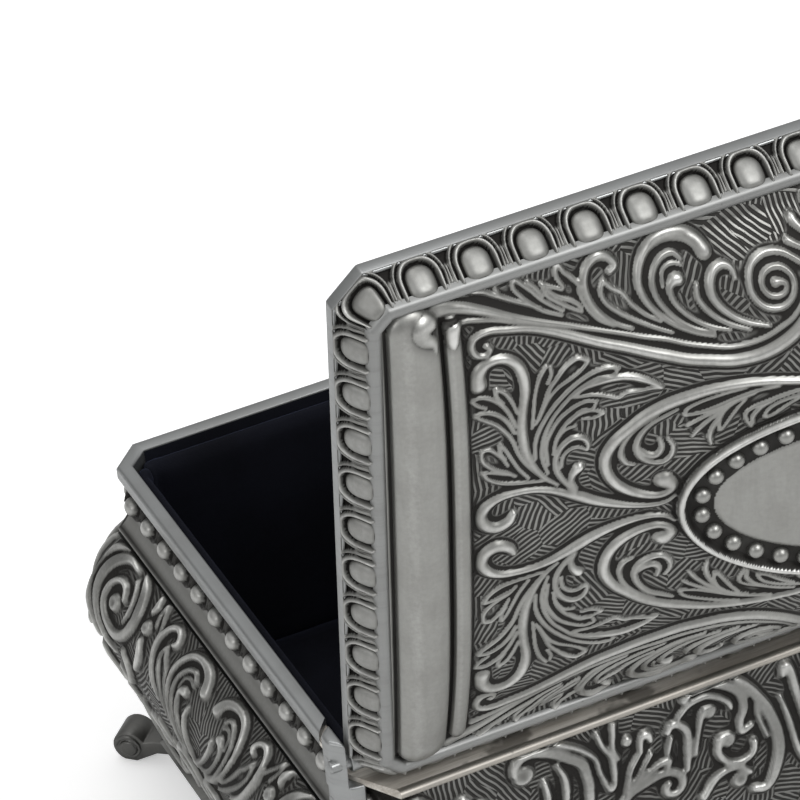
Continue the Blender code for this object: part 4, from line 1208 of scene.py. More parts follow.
    def build_knuckles(self) -> None:
        """The two hinge knuckles at the lid's back edge."""
        for side, label in ((1, "right"), (-1, "left")):
            bm = bmesh.new()
            spin = Matrix.Rotation(math.pi / 2, 4, "Y")
            x, radius, length = self.knuckle
            middle = Matrix.Translation((side * x, -HINGE_IN, HINGE_UP))
            bmesh.ops.create_cone(bm, cap_ends=True, segments=28, radius1=radius,
                                  radius2=radius, depth=length, matrix=middle @ spin)
            rims = [e for e in bm.edges if e.calc_face_angle(0.0) > 1.0]
            rounded(bm, rims, 0.25)
            bmesh.ops.transform(bm, matrix=lid_place(), verts=bm.verts)
            self.make.from_bmesh(f"lid_knuckle_{label}", bm, SATIN, Body.LID, smooth=50.0)

    def build(self) -> None:
        """Makes the lid's field, beads and knuckles."""
        self.build_field()
        self.build_beads()
        self.build_knuckles()


# The body's own measures
NECK: Profile = (
    (2.8, -1.3), (4.5, -0.9), (6.6, -0.4), (7.7, -1.2), (9.2, -0.6), (10.5, 0.1),
    (10.9, 0.8), (11.6, 0.7))
SWELL: Profile = (
    (11.9, 1.0), (16.1, 4.8), (20.5, 7.0), (25.0, 7.5), (30.3, 6.4), (37.9, 3.4),
    (45.4, 1.0), (51.8, -0.8))
BACK_TOP: Profile = (
    (1.9, 4.2), (3.0, 4.4), (10.9, 5.2), (16.1, 6.2), (20.5, 7.2), (25.0, 7.5))


def profile_points(points: Sequence[tuple[float, float]], step: float,
                   sunk: float = 0.0) -> np.ndarray:
    """A wall's profile at even steps along its curve.

    Args:
        points: Rows of depth below the rim and offset outwards.
        step: The distance between samples, in millimetres.
        sunk: How far the profile is drawn in between its two ends.

    Returns:
        Columns of depth, offset and distance run along the profile.
    """
    line = catmull(points, 8)
    run = np.concatenate([[0], np.cumsum(np.hypot(*np.diff(line, axis=0).T))])
    e = np.linspace(0, run[-1], max(int(run[-1] / step), 1) + 1)
    ends = np.clip(e / 0.7, 0, 1) * np.clip((run[-1] - e) / 0.7, 0, 1)
    side = np.minimum(np.interp(e, run, line[:, 1]), 7.5) - sunk * ends
    return np.stack([np.interp(e, run, line[:, 0]), side, e], axis=1)


def body_place() -> Matrix:
    """Takes the body's own millimetres, z down from the rim, to metres in the box's frame."""
    return Matrix.Scale(MM, 4) @ Matrix.Translation((0.0, BACK_TO_MIDDLE, RIM_HEIGHT))


def corner_cut(offset: float) -> float:
    """How far the clipped corner reaches along each side at an offset outwards."""
    return CORNER_CUT + (2 - math.sqrt(2)) * offset


def ring_corners(side: float, back: float) -> np.ndarray:
    """The eight corners of the body's plan, anticlockwise from the front left.

    Args:
        side: The offset outwards of the front and the ends, in millimetres.
        back: That of the back.

    Returns:
        Rows of x and y.
    """
    x, front, cut = HALF_LENGTH + side, -DEPTH - side, corner_cut(side)
    bx, by = BACK_CUT[0], BACK_CUT[1] + max(back, 0.0)
    return np.array([(-x + cut, front), (x - cut, front), (x, front + cut), (x, back - by),
                     (x - bx, back), (-x + bx, back), (-x, back - by), (-x, front + cut)])


@dataclass
class Skin:
    """A stretch of the body's skin between two corner lines, carrying relief."""

    name: str
    first: np.ndarray
    last: np.ndarray
    run: np.ndarray
    step: float = 0.3

    def build(self, make: Maker, relief: Callable[[np.ndarray, np.ndarray], "Carving"],
              finish: Finish, fade: tuple[float, float, float, float]) -> None:
        """Makes the piece.

        Args:
            make: What makes pieces of grids.
            relief: Gives the carving for distances along (from the middle) and down.
            finish: What it is finished in.
            fade: How far the relief fades at the top, bottom, first and last edge.
        """
        width = np.linalg.norm(self.last - self.first, axis=1)
        columns = max(int(width.max() / self.step), 2) + 1
        f = np.linspace(0, 1, columns)[None, :, None]
        base = self.first[:, None] * (1 - f) + self.last[:, None] * f
        s = (f[..., 0] - 0.5) * width[:, None]
        e = np.repeat(self.run[:, None], columns, axis=1)
        carving = relief(s, e)
        edge = width[:, None] / 2
        fades = ((e - e[0, 0], fade[0]), (e[-1, 0] - e, fade[1]), (s + edge, fade[2]),
                 (edge - s, fade[3]))
        mask = np.ones_like(s)
        for distance, reach in fades:
            if reach > 0:
                mask = mask * np.clip(distance / reach, 0, 1)
        middle = base.mean(axis=(0, 1))
        centre = np.array([0.0, -DEPTH / 2, middle[2]])
        at = (base.shape[0] // 2, base.shape[1] // 2)
        out = turned_to(grid_normals(base), base[at] - centre, *at)
        points = base + out * (carving.height * mask)[..., None]
        facing = turned_to(grid_normals(points), out[at], *at)
        place = body_place()
        flat = np.stack([s + 100.0, e], axis=2)
        # cavity brings patina and painted shade, crest wear and a painted highlight
        numbers = {"cavity": carving.cavity, "ground": carving.ground * (mask > 0.9),
                   "crest": crest_of(carving.height * mask, 4, 0.7)}
        make.from_grid(self.name, applied(place, points), flat, numbers, finish, Body.CASE,
                       facing)


@dataclass
class Carving:
    """Heights of a carved surface with its hollows and its hatched ground."""

    height: np.ndarray
    cavity: np.ndarray
    ground: np.ndarray


def carve(s: np.ndarray, e: np.ndarray, lines: Iterable[Line], highest: float,
          mirror: bool = False, step: float = 0.2) -> Carving:
    """Raises lines on a level ground and reads them off at the given places.

    Args:
        s: Distances along the wall from its middle, in millimetres.
        e: Distances down the wall.
        lines: The raised lines, in the same two measures.
        highest: The most that a line rises.
        mirror: Whether each line is repeated on the other side of the middle.
        step: The working grid's spacing.

    Returns:
        The carving at the given places.
    """
    u = np.arange(s.min() - step, s.max() + 2 * step, step)
    v = np.arange(e.min() - step, e.max() + 2 * step, step)
    work = ReliefField(u, v)
    for line in lines:
        for sign in (1, -1) if mirror else (1,):
            work.raise_line([(sign * a, b, r) for a, b, r in line], 1.15, 0.40, 0.42, highest,
                            (0.92, 0.09), 0.50)
    strokes = blurred(work.height, 1, 1)
    raised = filled(strokes, 3, 0.28)
    ground = 1 - np.clip((raised - 0.03) / 0.15, 0, 1)
    # Patina and painted shade between and round the lines
    hollow = hollows(raised, strokes, ground, 0.42, 0.36)

    def read(grid: np.ndarray) -> np.ndarray:
        """Reads a grid at the wanted places.

        Args:
            grid: The working grid's values.

        Returns:
            The values at the places, between the grid's own.
        """
        x = np.clip((s - u[0]) / step, 0, len(u) - 1.001)
        y = np.clip((e - v[0]) / step, 0, len(v) - 1.001)
        i, j = x.astype(int), y.astype(int)
        a, b = x - i, y - j
        upper = grid[j, i] * (1 - a) + grid[j, i + 1] * a
        lower = grid[j + 1, i] * (1 - a) + grid[j + 1, i + 1] * a
        return upper * (1 - b) + lower * b

    return Carving(read(raised), read(hollow), read(ground))


def egg_course(a: np.ndarray, b: np.ndarray, width: float, tall: float) -> Carving:
    """Eggs in open shells with darts between, seen flat.

    Args:
        a: Distance along from the nearest egg's middle.
        b: Distance across from the shells' closed side.
        width: The pitch of the eggs.
        tall: The course's whole height.

    Returns:
        The carving, level with the course's surface at 0.
    """
    k = width / 7.5
    a = np.abs(a) / k
    c, half_a, half_b = 0.60 * tall, 2.02, 0.44 * tall
    above = np.clip(c - b, 0, None) / half_b
    below = np.clip(b - c, 0, None) / half_b
    rho = ((a / half_a) ** 2.3 + above ** 2.3) ** (1 / 2.3)
    egg_rho = ((a / half_a) ** 2.4 + above ** 2.4 + (below * 0.98) ** 3.4) ** (1 / 2.4)
    egg = 1.32 * np.clip(1 - egg_rho ** 2.9, 0, 1) ** 0.5
    legs = np.clip((b - c) / (tall - c), 0, 1)
    line_at = 1.27 - 0.02 * legs
    ridge = 1.25 * np.clip(1 - ((rho - line_at) / (0.20 - 0.05 * legs)) ** 2, 0, 1) ** 0.7
    leaf_at = 1.64 - 0.05 * legs
    leaf = (0.95 - 0.25 * legs) * np.clip(1 - ((rho - leaf_at) / 0.14) ** 2, 0, 1) ** 0.8
    edge = width / k / 2 - a
    dart = 0.75 * np.clip(1 - (edge / 0.24) ** 2, 0, 1) ** 0.8
    dart = dart * np.clip((b - 1.4) / 0.8, 0, 1) * np.clip((tall * 0.95 - b) / 0.5, 0, 1)
    height = np.maximum.reduce([egg, ridge, leaf, dart])
    return Carving(height - 0.75, np.zeros_like(height), np.zeros_like(height))


@dataclass
class LidEdge:
    """The lid's wall, egg border and fillet, and its inside edge."""

    make: Maker
    wall_top: float = 2.5
    run: float = 2.8
    top: float = 6.95
    step: float = 0.165
    long_end: float = 60.0
    short_end: float = 37.5
    long_eggs: int = 16
    short_eggs: int = 10
    wall_profile: Profile = (
        (2.3, 3.6), (2.3, 0.55), (2.15, 0.32), (0.5, 0.32), (0.2, 0.42), (0.04, 0.75),
        (0.04, 2.15), (0.08, 2.42), (0.24, 2.62), (0.5, 2.62))
    fillet_profile: Profile = (
        (2.55, 6.2), (2.7, 6.9), (2.95, 7.2), (3.35, 7.42), (3.8, 7.45), (4.2, 7.3),
        (4.45, 7.02), (4.6, 6.5), (4.75, 5.9))

    def corners(self, inset: float) -> np.ndarray:
        """The eight corners of the lid's plan, anticlockwise from the front left.

        Args:
            inset: Distance from the lid's edge, in millimetres.

        Returns:
            Rows of x and y.
        """
        x, cut = HALF_LENGTH - inset, corner_cut(-inset)
        return np.array([(-x + cut, -DEPTH + inset), (x - cut, -DEPTH + inset),
                         (x, -DEPTH + inset + cut), (x, -inset - cut), (x - cut, -inset),
                         (-x + cut, -inset), (-x, -inset - cut), (-x, -DEPTH + inset + cut)])

    def path(self, inset: float) -> tuple[np.ndarray, np.ndarray, np.ndarray]:
        """Stations round the lid at an inset.

        Args:
            inset: Distance from the lid's edge, in millimetres.

        Returns:
            Plan points, the distance of each from its egg's middle, and the egg's pitch.
        """
        c = [tuple(corner) for corner in self.corners(inset)]
        low, high = -DEPTH / 2 - self.short_end, -DEPTH / 2 + self.short_end
        ends = ((-self.long_end, c[0][1]), (self.long_end, c[0][1]), (c[2][0], low),
                (c[2][0], high), (self.long_end, c[4][1]), (-self.long_end, c[4][1]),
                (c[6][0], high), (c[6][0], low))
        sides = []
        for k in range(0, 8, 2):
            eggs = self.short_eggs if k % 4 else self.long_eggs
            sides.append(([ends[k], ends[k + 1]], eggs))
            sides.append(([ends[k + 1], c[k + 1], c[(k + 2) % 8], ends[(k + 2) % 8]], 1))
        points, phase, pitch = [], [], []
        for corners, eggs in sides:
            line = np.array(corners)
            run = np.concatenate([[0], np.cumsum(np.linalg.norm(np.diff(line, axis=0), axis=1))])
            width = run[-1] / eggs
            count = int((7.5 if eggs > 1 else 9.0) / self.step) * eggs
            t = np.arange(count) / count * run[-1]
            points.append(np.stack([np.interp(t, run, line[:, 0]),
                                    np.interp(t, run, line[:, 1])], axis=1))
            phase.append((t % width) - width / 2)
            pitch.append(np.full(count, width))
        plan = np.vstack(points)
        return (np.vstack([plan, plan[:1]]), np.append(np.concatenate(phase), phase[0][0]),
                np.append(np.concatenate(pitch), pitch[0][0]))

    def build_border(self) -> None:
        """The egg course between the plain wall and the fillet."""
        tall = math.hypot(self.run, self.top - self.wall_top)
        rows = int(tall / self.step) + 1
        b = np.linspace(0, tall, rows)
        plans, phases, pitches = zip(*(self.path(self.run * k / tall) for k in b))
        up = self.wall_top + (self.top - self.wall_top) * b / tall
        base = np.concatenate([np.array(plans),
                               np.repeat(up[:, None, None], len(plans[0]), axis=1)], axis=2)
        across = np.repeat(b[:, None], len(plans[0]), axis=1)
        carving = egg_course(np.array(phases), across, np.array(pitches), tall)
        fade = np.clip(across / 0.35, 0, 1) * np.clip((tall - across) / 0.25, 0, 1)
        height = carving.height * fade
        at, skyward = (rows // 2, 40), (0.0, 0.0, 1.0)
        out = turned_to(grid_normals(base), skyward, *at)
        smooth = np.stack([blurred(out[..., k], 6, 2) for k in range(3)], axis=2)
        smooth /= np.linalg.norm(smooth, axis=2, keepdims=True)
        points = base + smooth * height[..., None]
        facing = turned_to(grid_normals(points), skyward, *at)
        # Patina and painted shade in the hollows round the eggs; wear and a painted highlight on
        # their crests
        cavity = np.maximum(cavity_of(height, 6, 0.62), cavity_of(height, 2, 0.32))
        place = lid_place()
        turned = facing @ np.array(place.to_3x3() * (1 / MM)).T
        flat = np.stack([np.zeros_like(across), across], axis=2)
        numbers = {"cavity": cavity, "crest": crest_of(height, 6, 0.8)}
        self.make.from_grid("lid_egg_border", applied(place, points), flat, numbers, BORDER,
                            Body.LID, turned)

    def ring(self, name: str, profile: Sequence[tuple[float, float]],
             finish: Finish) -> bpy.types.Object:
        """Sweeps a profile of inset and height round the lid."""
        loops = [np.concatenate([self.corners(inset), np.full((8, 1), height)], axis=1)
                 for inset, height in profile]
        return sweep_rings(self.make, name, loops, lid_place(), finish, Body.LID)

    def build(self) -> None:
        """Makes the lid's edge."""
        self.build_border()
        self.ring("lid_wall", self.wall_profile, SATIN)
        self.ring("lid_fillet", self.fillet_profile, FILLET)


def sweep_rings(make: Maker, name: str, loops: Sequence[np.ndarray], place: Matrix,
                finish: Finish, body: Body) -> bpy.types.Object:
    """Joins rings of eight corners into a moulding with slightly rounded corners.

    Args:
        make: What makes pieces.
        name: The piece's name.
        loops: Rings of points, one for each step of the profile.
        place: Where the rings lie.
        finish: What it is finished in.
        body: The group that it moves with.

    Returns:
        The new object.
    """
    bm = bmesh.new()
    rings = []
    for loop in loops:
        made = bmesh.ops.create_circle(bm, segments=len(loop), radius=1.0)["verts"]
        for vert, point in zip(made, loop):
            vert.co = Vector(point)
        rings.append(made)
    for low, high in zip(rings, rings[1:]):
        bmesh.ops.bridge_loops(bm, edges=ring_edges(low) + ring_edges(high))
    bmesh.ops.recalc_face_normals(bm, faces=bm.faces)
    corner = [e for e in bm.edges if len(e.link_faces) == 2
              and e.calc_face_angle(0.0) > math.radians(20)
              and not any(set(e.verts) <= set(ring) for ring in rings)]
    rounded(bm, corner, 0.22)
    bmesh.ops.transform(bm, matrix=place, verts=bm.verts)
    return make.from_bmesh(name, bm, finish, body, smooth=50.0)


def ring_edges(ring: Sequence[bmesh.types.BMVert]) -> list[bmesh.types.BMEdge]:
    """The edges between a ring's neighbouring vertices.

    Args:
        ring: The vertices in order.

    Returns:
        The edges in the same order.
    """
    edges = []
    for a, b in zip(ring, list(ring[1:]) + [ring[0]]):
        for edge in a.link_edges:
            if edge.other_vert(a) is b:
                edges.append(edge)
    return edges


# Carving on the body, as distance along from the wall's middle, distance down and half width
END_LINES: tuple[Line, ...] = (
    # Scroll with its ball near the front and back, inside its crescents
    ((28.6, 15.4, .3), (26.4, 17.2, .9), (25.0, 19.8, 1.1), (25.0, 22.6, 1.0), (26.6, 25.2, .9),
     (29.4, 26.6, .9), (32.4, 26.0, .9), (34.2, 23.8, .8), (34.2, 21.0, .7), (32.6, 19.2, .6),
     (30.4, 19.4, .5), (29.4, 21.0, .4)),
    ((31.3, 22.4, 1.5), (31.35, 22.45, 1.5)),
    ((29.6, 17.2, .3), (27.6, 18.8, .5), (26.8, 21.2, .5), (27.6, 23.6, .3)),
    ((30.6, 16.2, .3), (33.4, 15.9, .8), (36.0, 17.6, 1.1), (37.2, 20.6, 1.1), (37.0, 24.0, 1.0),
     (35.2, 27.4, .8), (32.4, 29.4, .5), (29.6, 30.0, .3)),
    ((35.6, 15.2, .3), (38.2, 16.8, .8), (39.8, 19.8, 1.0), (39.8, 23.8, 1.0), (38.2, 27.8, .8),
     (35.6, 30.8, .4)),
    ((39.8, 15.8, .3), (41.6, 18.6, .7), (42.2, 22.6, .8), (41.4, 27.0, .7), (39.4, 31.0, .4)),
    ((26.0, 27.2, .4), (24.4, 29.2, .8), (24.8, 31.8, .8), (27.2, 33.0, .5), (29.6, 32.4, .3)),
    # Small ball and drops
    ((21.4, 20.4, 1.15), (21.5, 20.6, 1.15)),
    ((22.6, 15.4, .3), (21.9, 17.0, .8), (22.2, 18.4, .3)),
    ((21.4, 22.6, .5), (20.6, 25.2, .8), (21.4, 27.8, .3)),
    # Scroll with its ball in each lower corner, and leaves beside it
    ((24.5, 52.0, .3), (27.5, 54.6, .8), (31.5, 55.6, 1.0), (35.6, 54.2, 1.1), (38.4, 50.8, 1.1),
     (38.8, 46.6, 1.0), (36.4, 43.6, .9), (33.2, 43.6, .8), (31.6, 46.0, .7), (32.8, 48.2, .5)),
    ((34.8, 47.2, 1.3), (34.85, 47.25, 1.3)),
    ((41.8, 36, .3), (42.8, 41, .9), (42.4, 47, 1.0), (40.6, 54, .3)),
    ((28.4, 50.6, .2), (29.2, 46.6, .8), (29.0, 42.0, .8), (27.0, 37.6, .2)),
    ((31.4, 41.6, .2), (31.2, 38.6, .7), (30.2, 35.6, .2)),
    ((34.8, 41.4, .2), (36.0, 38.0, .8), (38.6, 34.6, .3)),
    ((0, 55.5, .4), (0, 50.0, 1.0), (0, 44.0, .8), (0, 38.6, .3)),
)
BACK_LINES: tuple[Line, ...] = (
    ((44.5, 6.1, 1.25), (44.6, 6.15, 1.25)),
    ((45.9, 5.6, .4), (45.6, 4.2, .55), (44.3, 3.25, .6), (42.5, 3.25, .65), (40, 4.25, .7),
     (38, 5.75, .7), (36, 7.5, .7), (35.4, 9.5, .65), (35.2, 12, .6), (36.0, 15.6, .55),
     (38.2, 19.0, .5), (41.8, 21.6, .4)),
    ((41, 2, .35), (38.5, 3.5, .4), (36, 5.25, .4), (34, 7.5, .4), (33.5, 10, .4),
     (32.75, 12, .35)),
    ((39.5, 6.5, .3), (38.6, 9.4, .45), (39.0, 13.0, .45), (41.0, 16.4, .4), (44.2, 19.0, .35)),
    ((41.6, 8.4, .3), (41.4, 11.4, .4), (43.0, 14.6, .4), (46.0, 17.0, .35)),
    ((33.25, 4, .3), (32.75, 6, .4), (31.5, 8.5, .45), (31.5, 12, .45), (32.25, 13.25, .4),
     (33.25, 11.5, .3)),
    ((30.75, 2.25, .3), (31, 4.5, .4), (31.25, 7, .4), (30.5, 9, .3)),
    ((29, 6.75, .65), (29.05, 6.8, .65)),
    ((27.2, 9.2, .35), (27, 7, .45), (26, 6.75, .5), (25.6, 7.9, .4)),
    ((27.2, 9.0, .35), (29, 11.5, .4), (30, 14.5, .45)),
    ((25.75, 10, .35), (28, 12.75, .4), (29.9, 14.75, .45), (31.0, 17.6, .5),
     (31.0, 20.6, .5)),
    ((30, 14.8, .45), (26.5, 12.75, .45), (24, 12, .5), (23.25, 12.25, .5), (24, 13.6, .35)),
    ((31.6, 17.2, .5), (29.9, 15.1, .6), (27, 14.15, .6), (24, 13.75, .6), (22, 14.75, .6),
     (21.75, 16.25, .55), (22.75, 17.25, .5), (24, 17, .5), (24.3, 16.1, .45), (23.8, 15.6, .5)),
    ((23, 7.75, .4), (22.25, 6.75, .5), (21, 7.25, .55), (20, 9, .55), (20.25, 12, .5),
     (20.75, 14.5, .4)),
    ((23.25, 11, .3), (22.5, 8.75, .3)),
    ((21.25, 6, .35), (19.5, 4.5, .45), (17, 4.1, .5), (15, 5, .5), (13.5, 6.5, .45),
     (13.25, 7.5, .35)),
    ((20.25, 3.75, .35), (18.5, 2.5, .5), (16, 2.5, .6), (13.5, 3.75, .65), (11.75, 5.5, .65),
     (11.25, 8, .6), (12, 10, .5), (12, 11.75, .5), (10.5, 11.25, .5)),
    ((12.5, 2.5, .4), (10.5, 5, .6), (9, 7.5, .7), (7.75, 10, .75), (6.75, 13.5, .75),
     (6.75, 16.5, .75), (8, 19.5, .7), (9.5, 21.25, .6), (11.25, 21, .5)),
    ((16.5, 6.75, .95), (17.5, 6.6, .5), (18.5, 9.5, .4), (19.25, 12.75, .35)),
    ((14.25, 12.25, 1.05), (15.5, 12, .5), (15.75, 14, .5), (14.5, 15.75, .5),
     (12.5, 16.25, .5), (10.75, 15.5, .45), (10.25, 14, .4)),
    ((13.25, 18.75, .95), (13.3, 18.8, .95)),
    ((19, 19.5, .45), (17, 17.5, .5), (15, 16.75, .5), (13, 17.0, .45), (11.6, 18.3, .4)),
    ((9.5, 8.5, .3), (9.25, 10.5, .35), (8.25, 14, .3)),
    ((0, 22.4, .2), (0, 12, .62), (0, 4.2, .66), (0, 3.0, .5)),
    ((1.1, 21.4, .2), (2.5, 12.6, .5), (3.9, 4.9, .56), (4.7, 4.2, .5), (5.0, 5.4, .35)),
    ((2.0, 21.8, .2), (3.9, 17.6, .42), (4.8, 12.4, .46), (5.6, 8.6, .2)),
    # Corner plume below the widest place
    ((52.6, 25, .4), (54.6, 31, .8), (57.4, 38, .9), (59.4, 45, .6)),
    ((56, 24, .4), (58.6, 29, .7), (61, 35.4, .7), (62.4, 41, .4)),
    ((50.6, 30, .3), (52.4, 36, .6), (54.6, 42, .7), (56, 47, .4)),
)
CORNER_LINES: tuple[Line, ...] = (
    ((-1.6, 3, .4), (-.9, 10, .6), (.4, 18, .7), (.6, 27, .7), (-.4, 36, .6), (-1.2, 46, .4)),
    ((1.9, 2, .35), (1.5, 9, .5), (2.0, 16, .45)),
    ((-2.0, 15, .35), (-1.4, 23, .5), (-1.8, 32, .45)),
    ((1.4, 30, .4), (1.0, 38, .5), (.4, 47, .4)),
)


def moved(lines: Iterable[Line], down: float, wider: float = 1.0) -> list[Line]:
    """The lines shifted down a wall by some millimetres and widened by a factor."""
    return [[(a, b + down, r * wider) for a, b, r in line] for line in lines]


def within(low_u: float, high_u: float, low_v: float, high_v: float) -> list[Line]:
    """The lid's lines that lie wholly between the given measures."""
    return [line for line in LID_LINES
            if all(low_u <= u <= high_u and low_v <= v <= high_v for u, v, _ in line)]


def repeated(lines: Iterable[Line], along: tuple[float, float],
             down: tuple[float, float]) -> list[Line]:
    """Lines of the lid's ornament that the body carries too.

    Args:
        lines: The lines, in the lid's measures.
        along: A shift and a factor that turn the first measure into distance along a wall.
        down: The same for the second measure and distance down the wall.

    Returns:
        The lines in the wall's measures.
    """
    return [[(along[0] + along[1] * u, down[0] + down[1] * v, r) for u, v, r in line]
            for line in lines]


def long_wall_lines(down: float) -> list[Line]:
    """The carving of the front and back: scrolls above, the long moulding below.

    Args:
        down: How far the scrolls are shifted down the wall, in millimetres.

    Returns:
        The lines in the wall's measures.
    """
    return (moved(BACK_LINES, down, 1.35)
            + repeated(within(14.5, 34.2, 48, 72.5), (73.2, -0.68), (61.0, -0.82))
            + repeated([LID_LINES[0]] + [LID_LINES[k][ON_BARS:] for k in RIBBONS]
                       + within(15.5, 67.5, 68.9, 82), (66.5, -1.0), (115.84, -1.12))
            + repeated(within(31, 47, 51, 62.2), (78.0, -0.9), (80.0, -1.0)))


def end_wall_lines() -> list[Line]:
    """The carving of the ends: scrolls above, leaves and a curl below.

    Returns:
        The lines in the wall's measures.
    """
    return (moved(END_LINES, -14.1)
            + repeated(within(14.5, 40, 48, 72.5), (-15.5, 1.08), (96.88, -1.12))
            + repeated(within(27.5, 51, 68.9, 82), (47.0, -0.95), (95.5, -1.15)))


def sheet_of(rows: Sequence[Sequence[Triple]]) -> bmesh.types.BMesh:
    """A sheet of faces over rows of points.

    Args:
        rows: Rows with the same number of points, in millimetres.

    Returns:
        A mesh whose vertices run row by row.
    """
    bm = bmesh.new()
    bmesh.ops.create_grid(bm, x_segments=len(rows[0]) - 1, y_segments=len(rows) - 1, size=0.5)
    for vert, point in zip(bm.verts, (point for row in rows for point in row)):
        vert.co = point
    return bm


@dataclass
class Case:
    """The body: rim, egg neck, swelling carved walls, ledge, ears and feet."""

    make: Maker
    step: float = 0.27
    sunk: float = 1.3
    neck_step: float = 0.22
    rim_end: float = -11.5
    ledge_end: float = -11.52
    slant: float = 2.8 / 2.3
    rim_profile: Profile = (
        (-2.3, 7.0), (-2.3, 0.45), (-2.18, 0.16), (-1.9, 0.0), (-0.55, 0.0), (-0.2, 0.1),
        (0.0, 0.4), (0.0, 2.0), (-0.1, 2.3), (-0.4, 2.55), (-1.35, 2.9))
    ledge_profile: Profile = (
        (-2.3, 7.0), (-2.3, 1.7), (-2.2, 1.4), (-2.0, 1.3), (2.9, 1.3), (3.3, 1.15),
        (3.8, 1.1), (4.2, 1.3), (4.35, 1.7), (4.2, 2.1), (3.0, 3.0))

    def rings(self, profile: np.ndarray, back: np.ndarray) -> np.ndarray:
        """Rings of eight corners for the rows of a profile of depth and offset."""
        return np.array([
            np.concatenate([ring_corners(side, behind), np.full((8, 1), -depth)], axis=1)
            for (depth, side), behind in zip(profile[:, :2], back[:, 1])])

    def build_walls(self) -> None:
        """The four carved walls and their carved corner facets."""
        wall = profile_points(SWELL, self.step, self.sunk)
        plain = profile_points(SWELL, self.step)
        back_line = catmull(BACK_TOP, 8)
        behind = wall.copy()
        upper = wall[:, 0] < 25.0
        shift = np.interp(plain[upper, 0], back_line[:, 0], back_line[:, 1]) - plain[upper, 1]
        behind[upper, 1] += shift
        rings = self.rings(wall, behind)
        for k, name, lines in ((0, "front", long_wall_lines(-1.5)),
                               (1, "front_right", CORNER_LINES), (2, "right", end_wall_lines()),
                               (3, "back_right", CORNER_LINES), (5, "back_left", CORNER_LINES),
                               (6, "left", end_wall_lines()), (7, "front_left", CORNER_LINES)):
            self.wall(name, rings[:, k], rings[:, (k + 1) % 8], wall[:, 2], lines)
        back = profile_points(tuple(BACK_TOP) + SWELL[4:], self.step, self.sunk)
        outline = np.vstack([profile_points(NECK, self.step)[:, :2], wall[:, :2]])
        beside = back.copy()
        beside[:, 1] = np.interp(back[:, 0], outline[:, 0], outline[:, 1])
        rings = self.rings(beside, back)
        self.wall("back", rings[:, 4], rings[:, 5], back[:, 2], long_wall_lines(-1.9))

    def wall(self, name: str, first: np.ndarray, last: np.ndarray, run: np.ndarray,
             lines: Iterable[Line]) -> None:
        """One carved wall between two corner lines.

        Args:
            name: Which wall it is.
            first: The points down its first corner.
            last: The points down its last corner.
            run: The distance run down the wall at each point.
            lines: Its carving.
        """
        def relief(s: np.ndarray, e: np.ndarray) -> Carving:
            """The wall's carving."""
            return carve(s, e, lines, self.sunk, name not in ("front_left", "back_right"))

        Skin(f"wall_{name}", first, last, run, self.step).build(
            self.make, relief, CARVED, (0.8, 0.8, 0.9, 0.9))

    def build_neck(self) -> None:
        """Hanging eggs under the rim, the cove and the bead line."""
        neck = profile_points(NECK, self.neck_step)
        behind = neck.copy()
        back_line = catmull(BACK_TOP, 8)
        behind[:, 1] = np.interp(neck[:, 0], back_line[:, 0], back_line[:, 1])
        rings = self.rings(neck, behind)
        for k, name, eggs in ((0, "front", 21), (1, "front_right", 1), (2, "right", 13),
                              (6, "left", 13), (7, "front_left", 1), (3, "back_right", 2),
                              (5, "back_left", 2)):
            self.neck_side(f"neck_{name}", rings[:, k], rings[:, (k + 1) % 8], neck[:, 2], eggs)

    def neck_side(self, name: str, first: np.ndarray, last: np.ndarray, run: np.ndarray,
                  eggs: int) -> None:
        """One side of the neck.

        Args:
            name: The piece's name.
            first: The points down its first corner.
            last: The points down its last corner.
            run: The distance run down the neck at each point.
            eggs: How many eggs it carries.
        """
        def relief(s: np.ndarray, e: np.ndarray) -> Carving:
            """Round eggs under the lip, then the cove and the bead line.

            Args:
                s: Distances along the side from its middle.
                e: Distances down the neck.

            Returns:
                The carving.
            """
            width = (s.max() - s.min()) / eggs
            a = (s - s.min()) % width - width / 2
            rho = (np.abs(a) / (width * 0.29)) ** 2.2 + (np.abs(e - 2.9) / 1.45) ** 2.2
            egg = 1.55 * np.clip(1 - rho, 0, 1) ** 0.5
            shell = (np.abs(a) / (width * 0.45)) ** 2.2 + (np.abs(e - 2.6) / 2.1) ** 2.2
            dart = 0.55 * np.clip(1 - ((shell - 1.0) / 0.30) ** 2, 0, 1) * (e > 1.2)
            height = np.maximum(egg, dart) - 0.55 * (e < 4.6)
            # Patina and painted shade: dark between the eggs, and two dark bands at fixed depths,
            # under the eggs and low in the cove
            hollow = np.maximum(cavity_of(height, 5, 0.8), cavity_of(height, 2, 0.4))
            course = [(4.5, 0.0), (4.8, 0.7), (5.2, 0.1), (5.8, 0.1), (6.4, 0.16), (8.2, 0.08),
                      (8.9, 0.5), (9.4, 0.1), (10.2, 0.0), (10.7, 0.05), (11.3, 0.2)]
            where, much = zip(*course)
            between = np.where(egg < 0.35, 0.56 - 0.35 * dart, 0.0)
            hollow = np.where(e < 4.6, np.maximum(hollow, blurred(between, 1, 2)),
                              np.interp(e, where, much))
            return Carving(height, hollow, np.zeros_like(s))

        Skin(name, first, last, run, self.neck_step).build(self.make, relief, NECKED,
                                                           (0.3, 0.3, 0.0, 0.0))

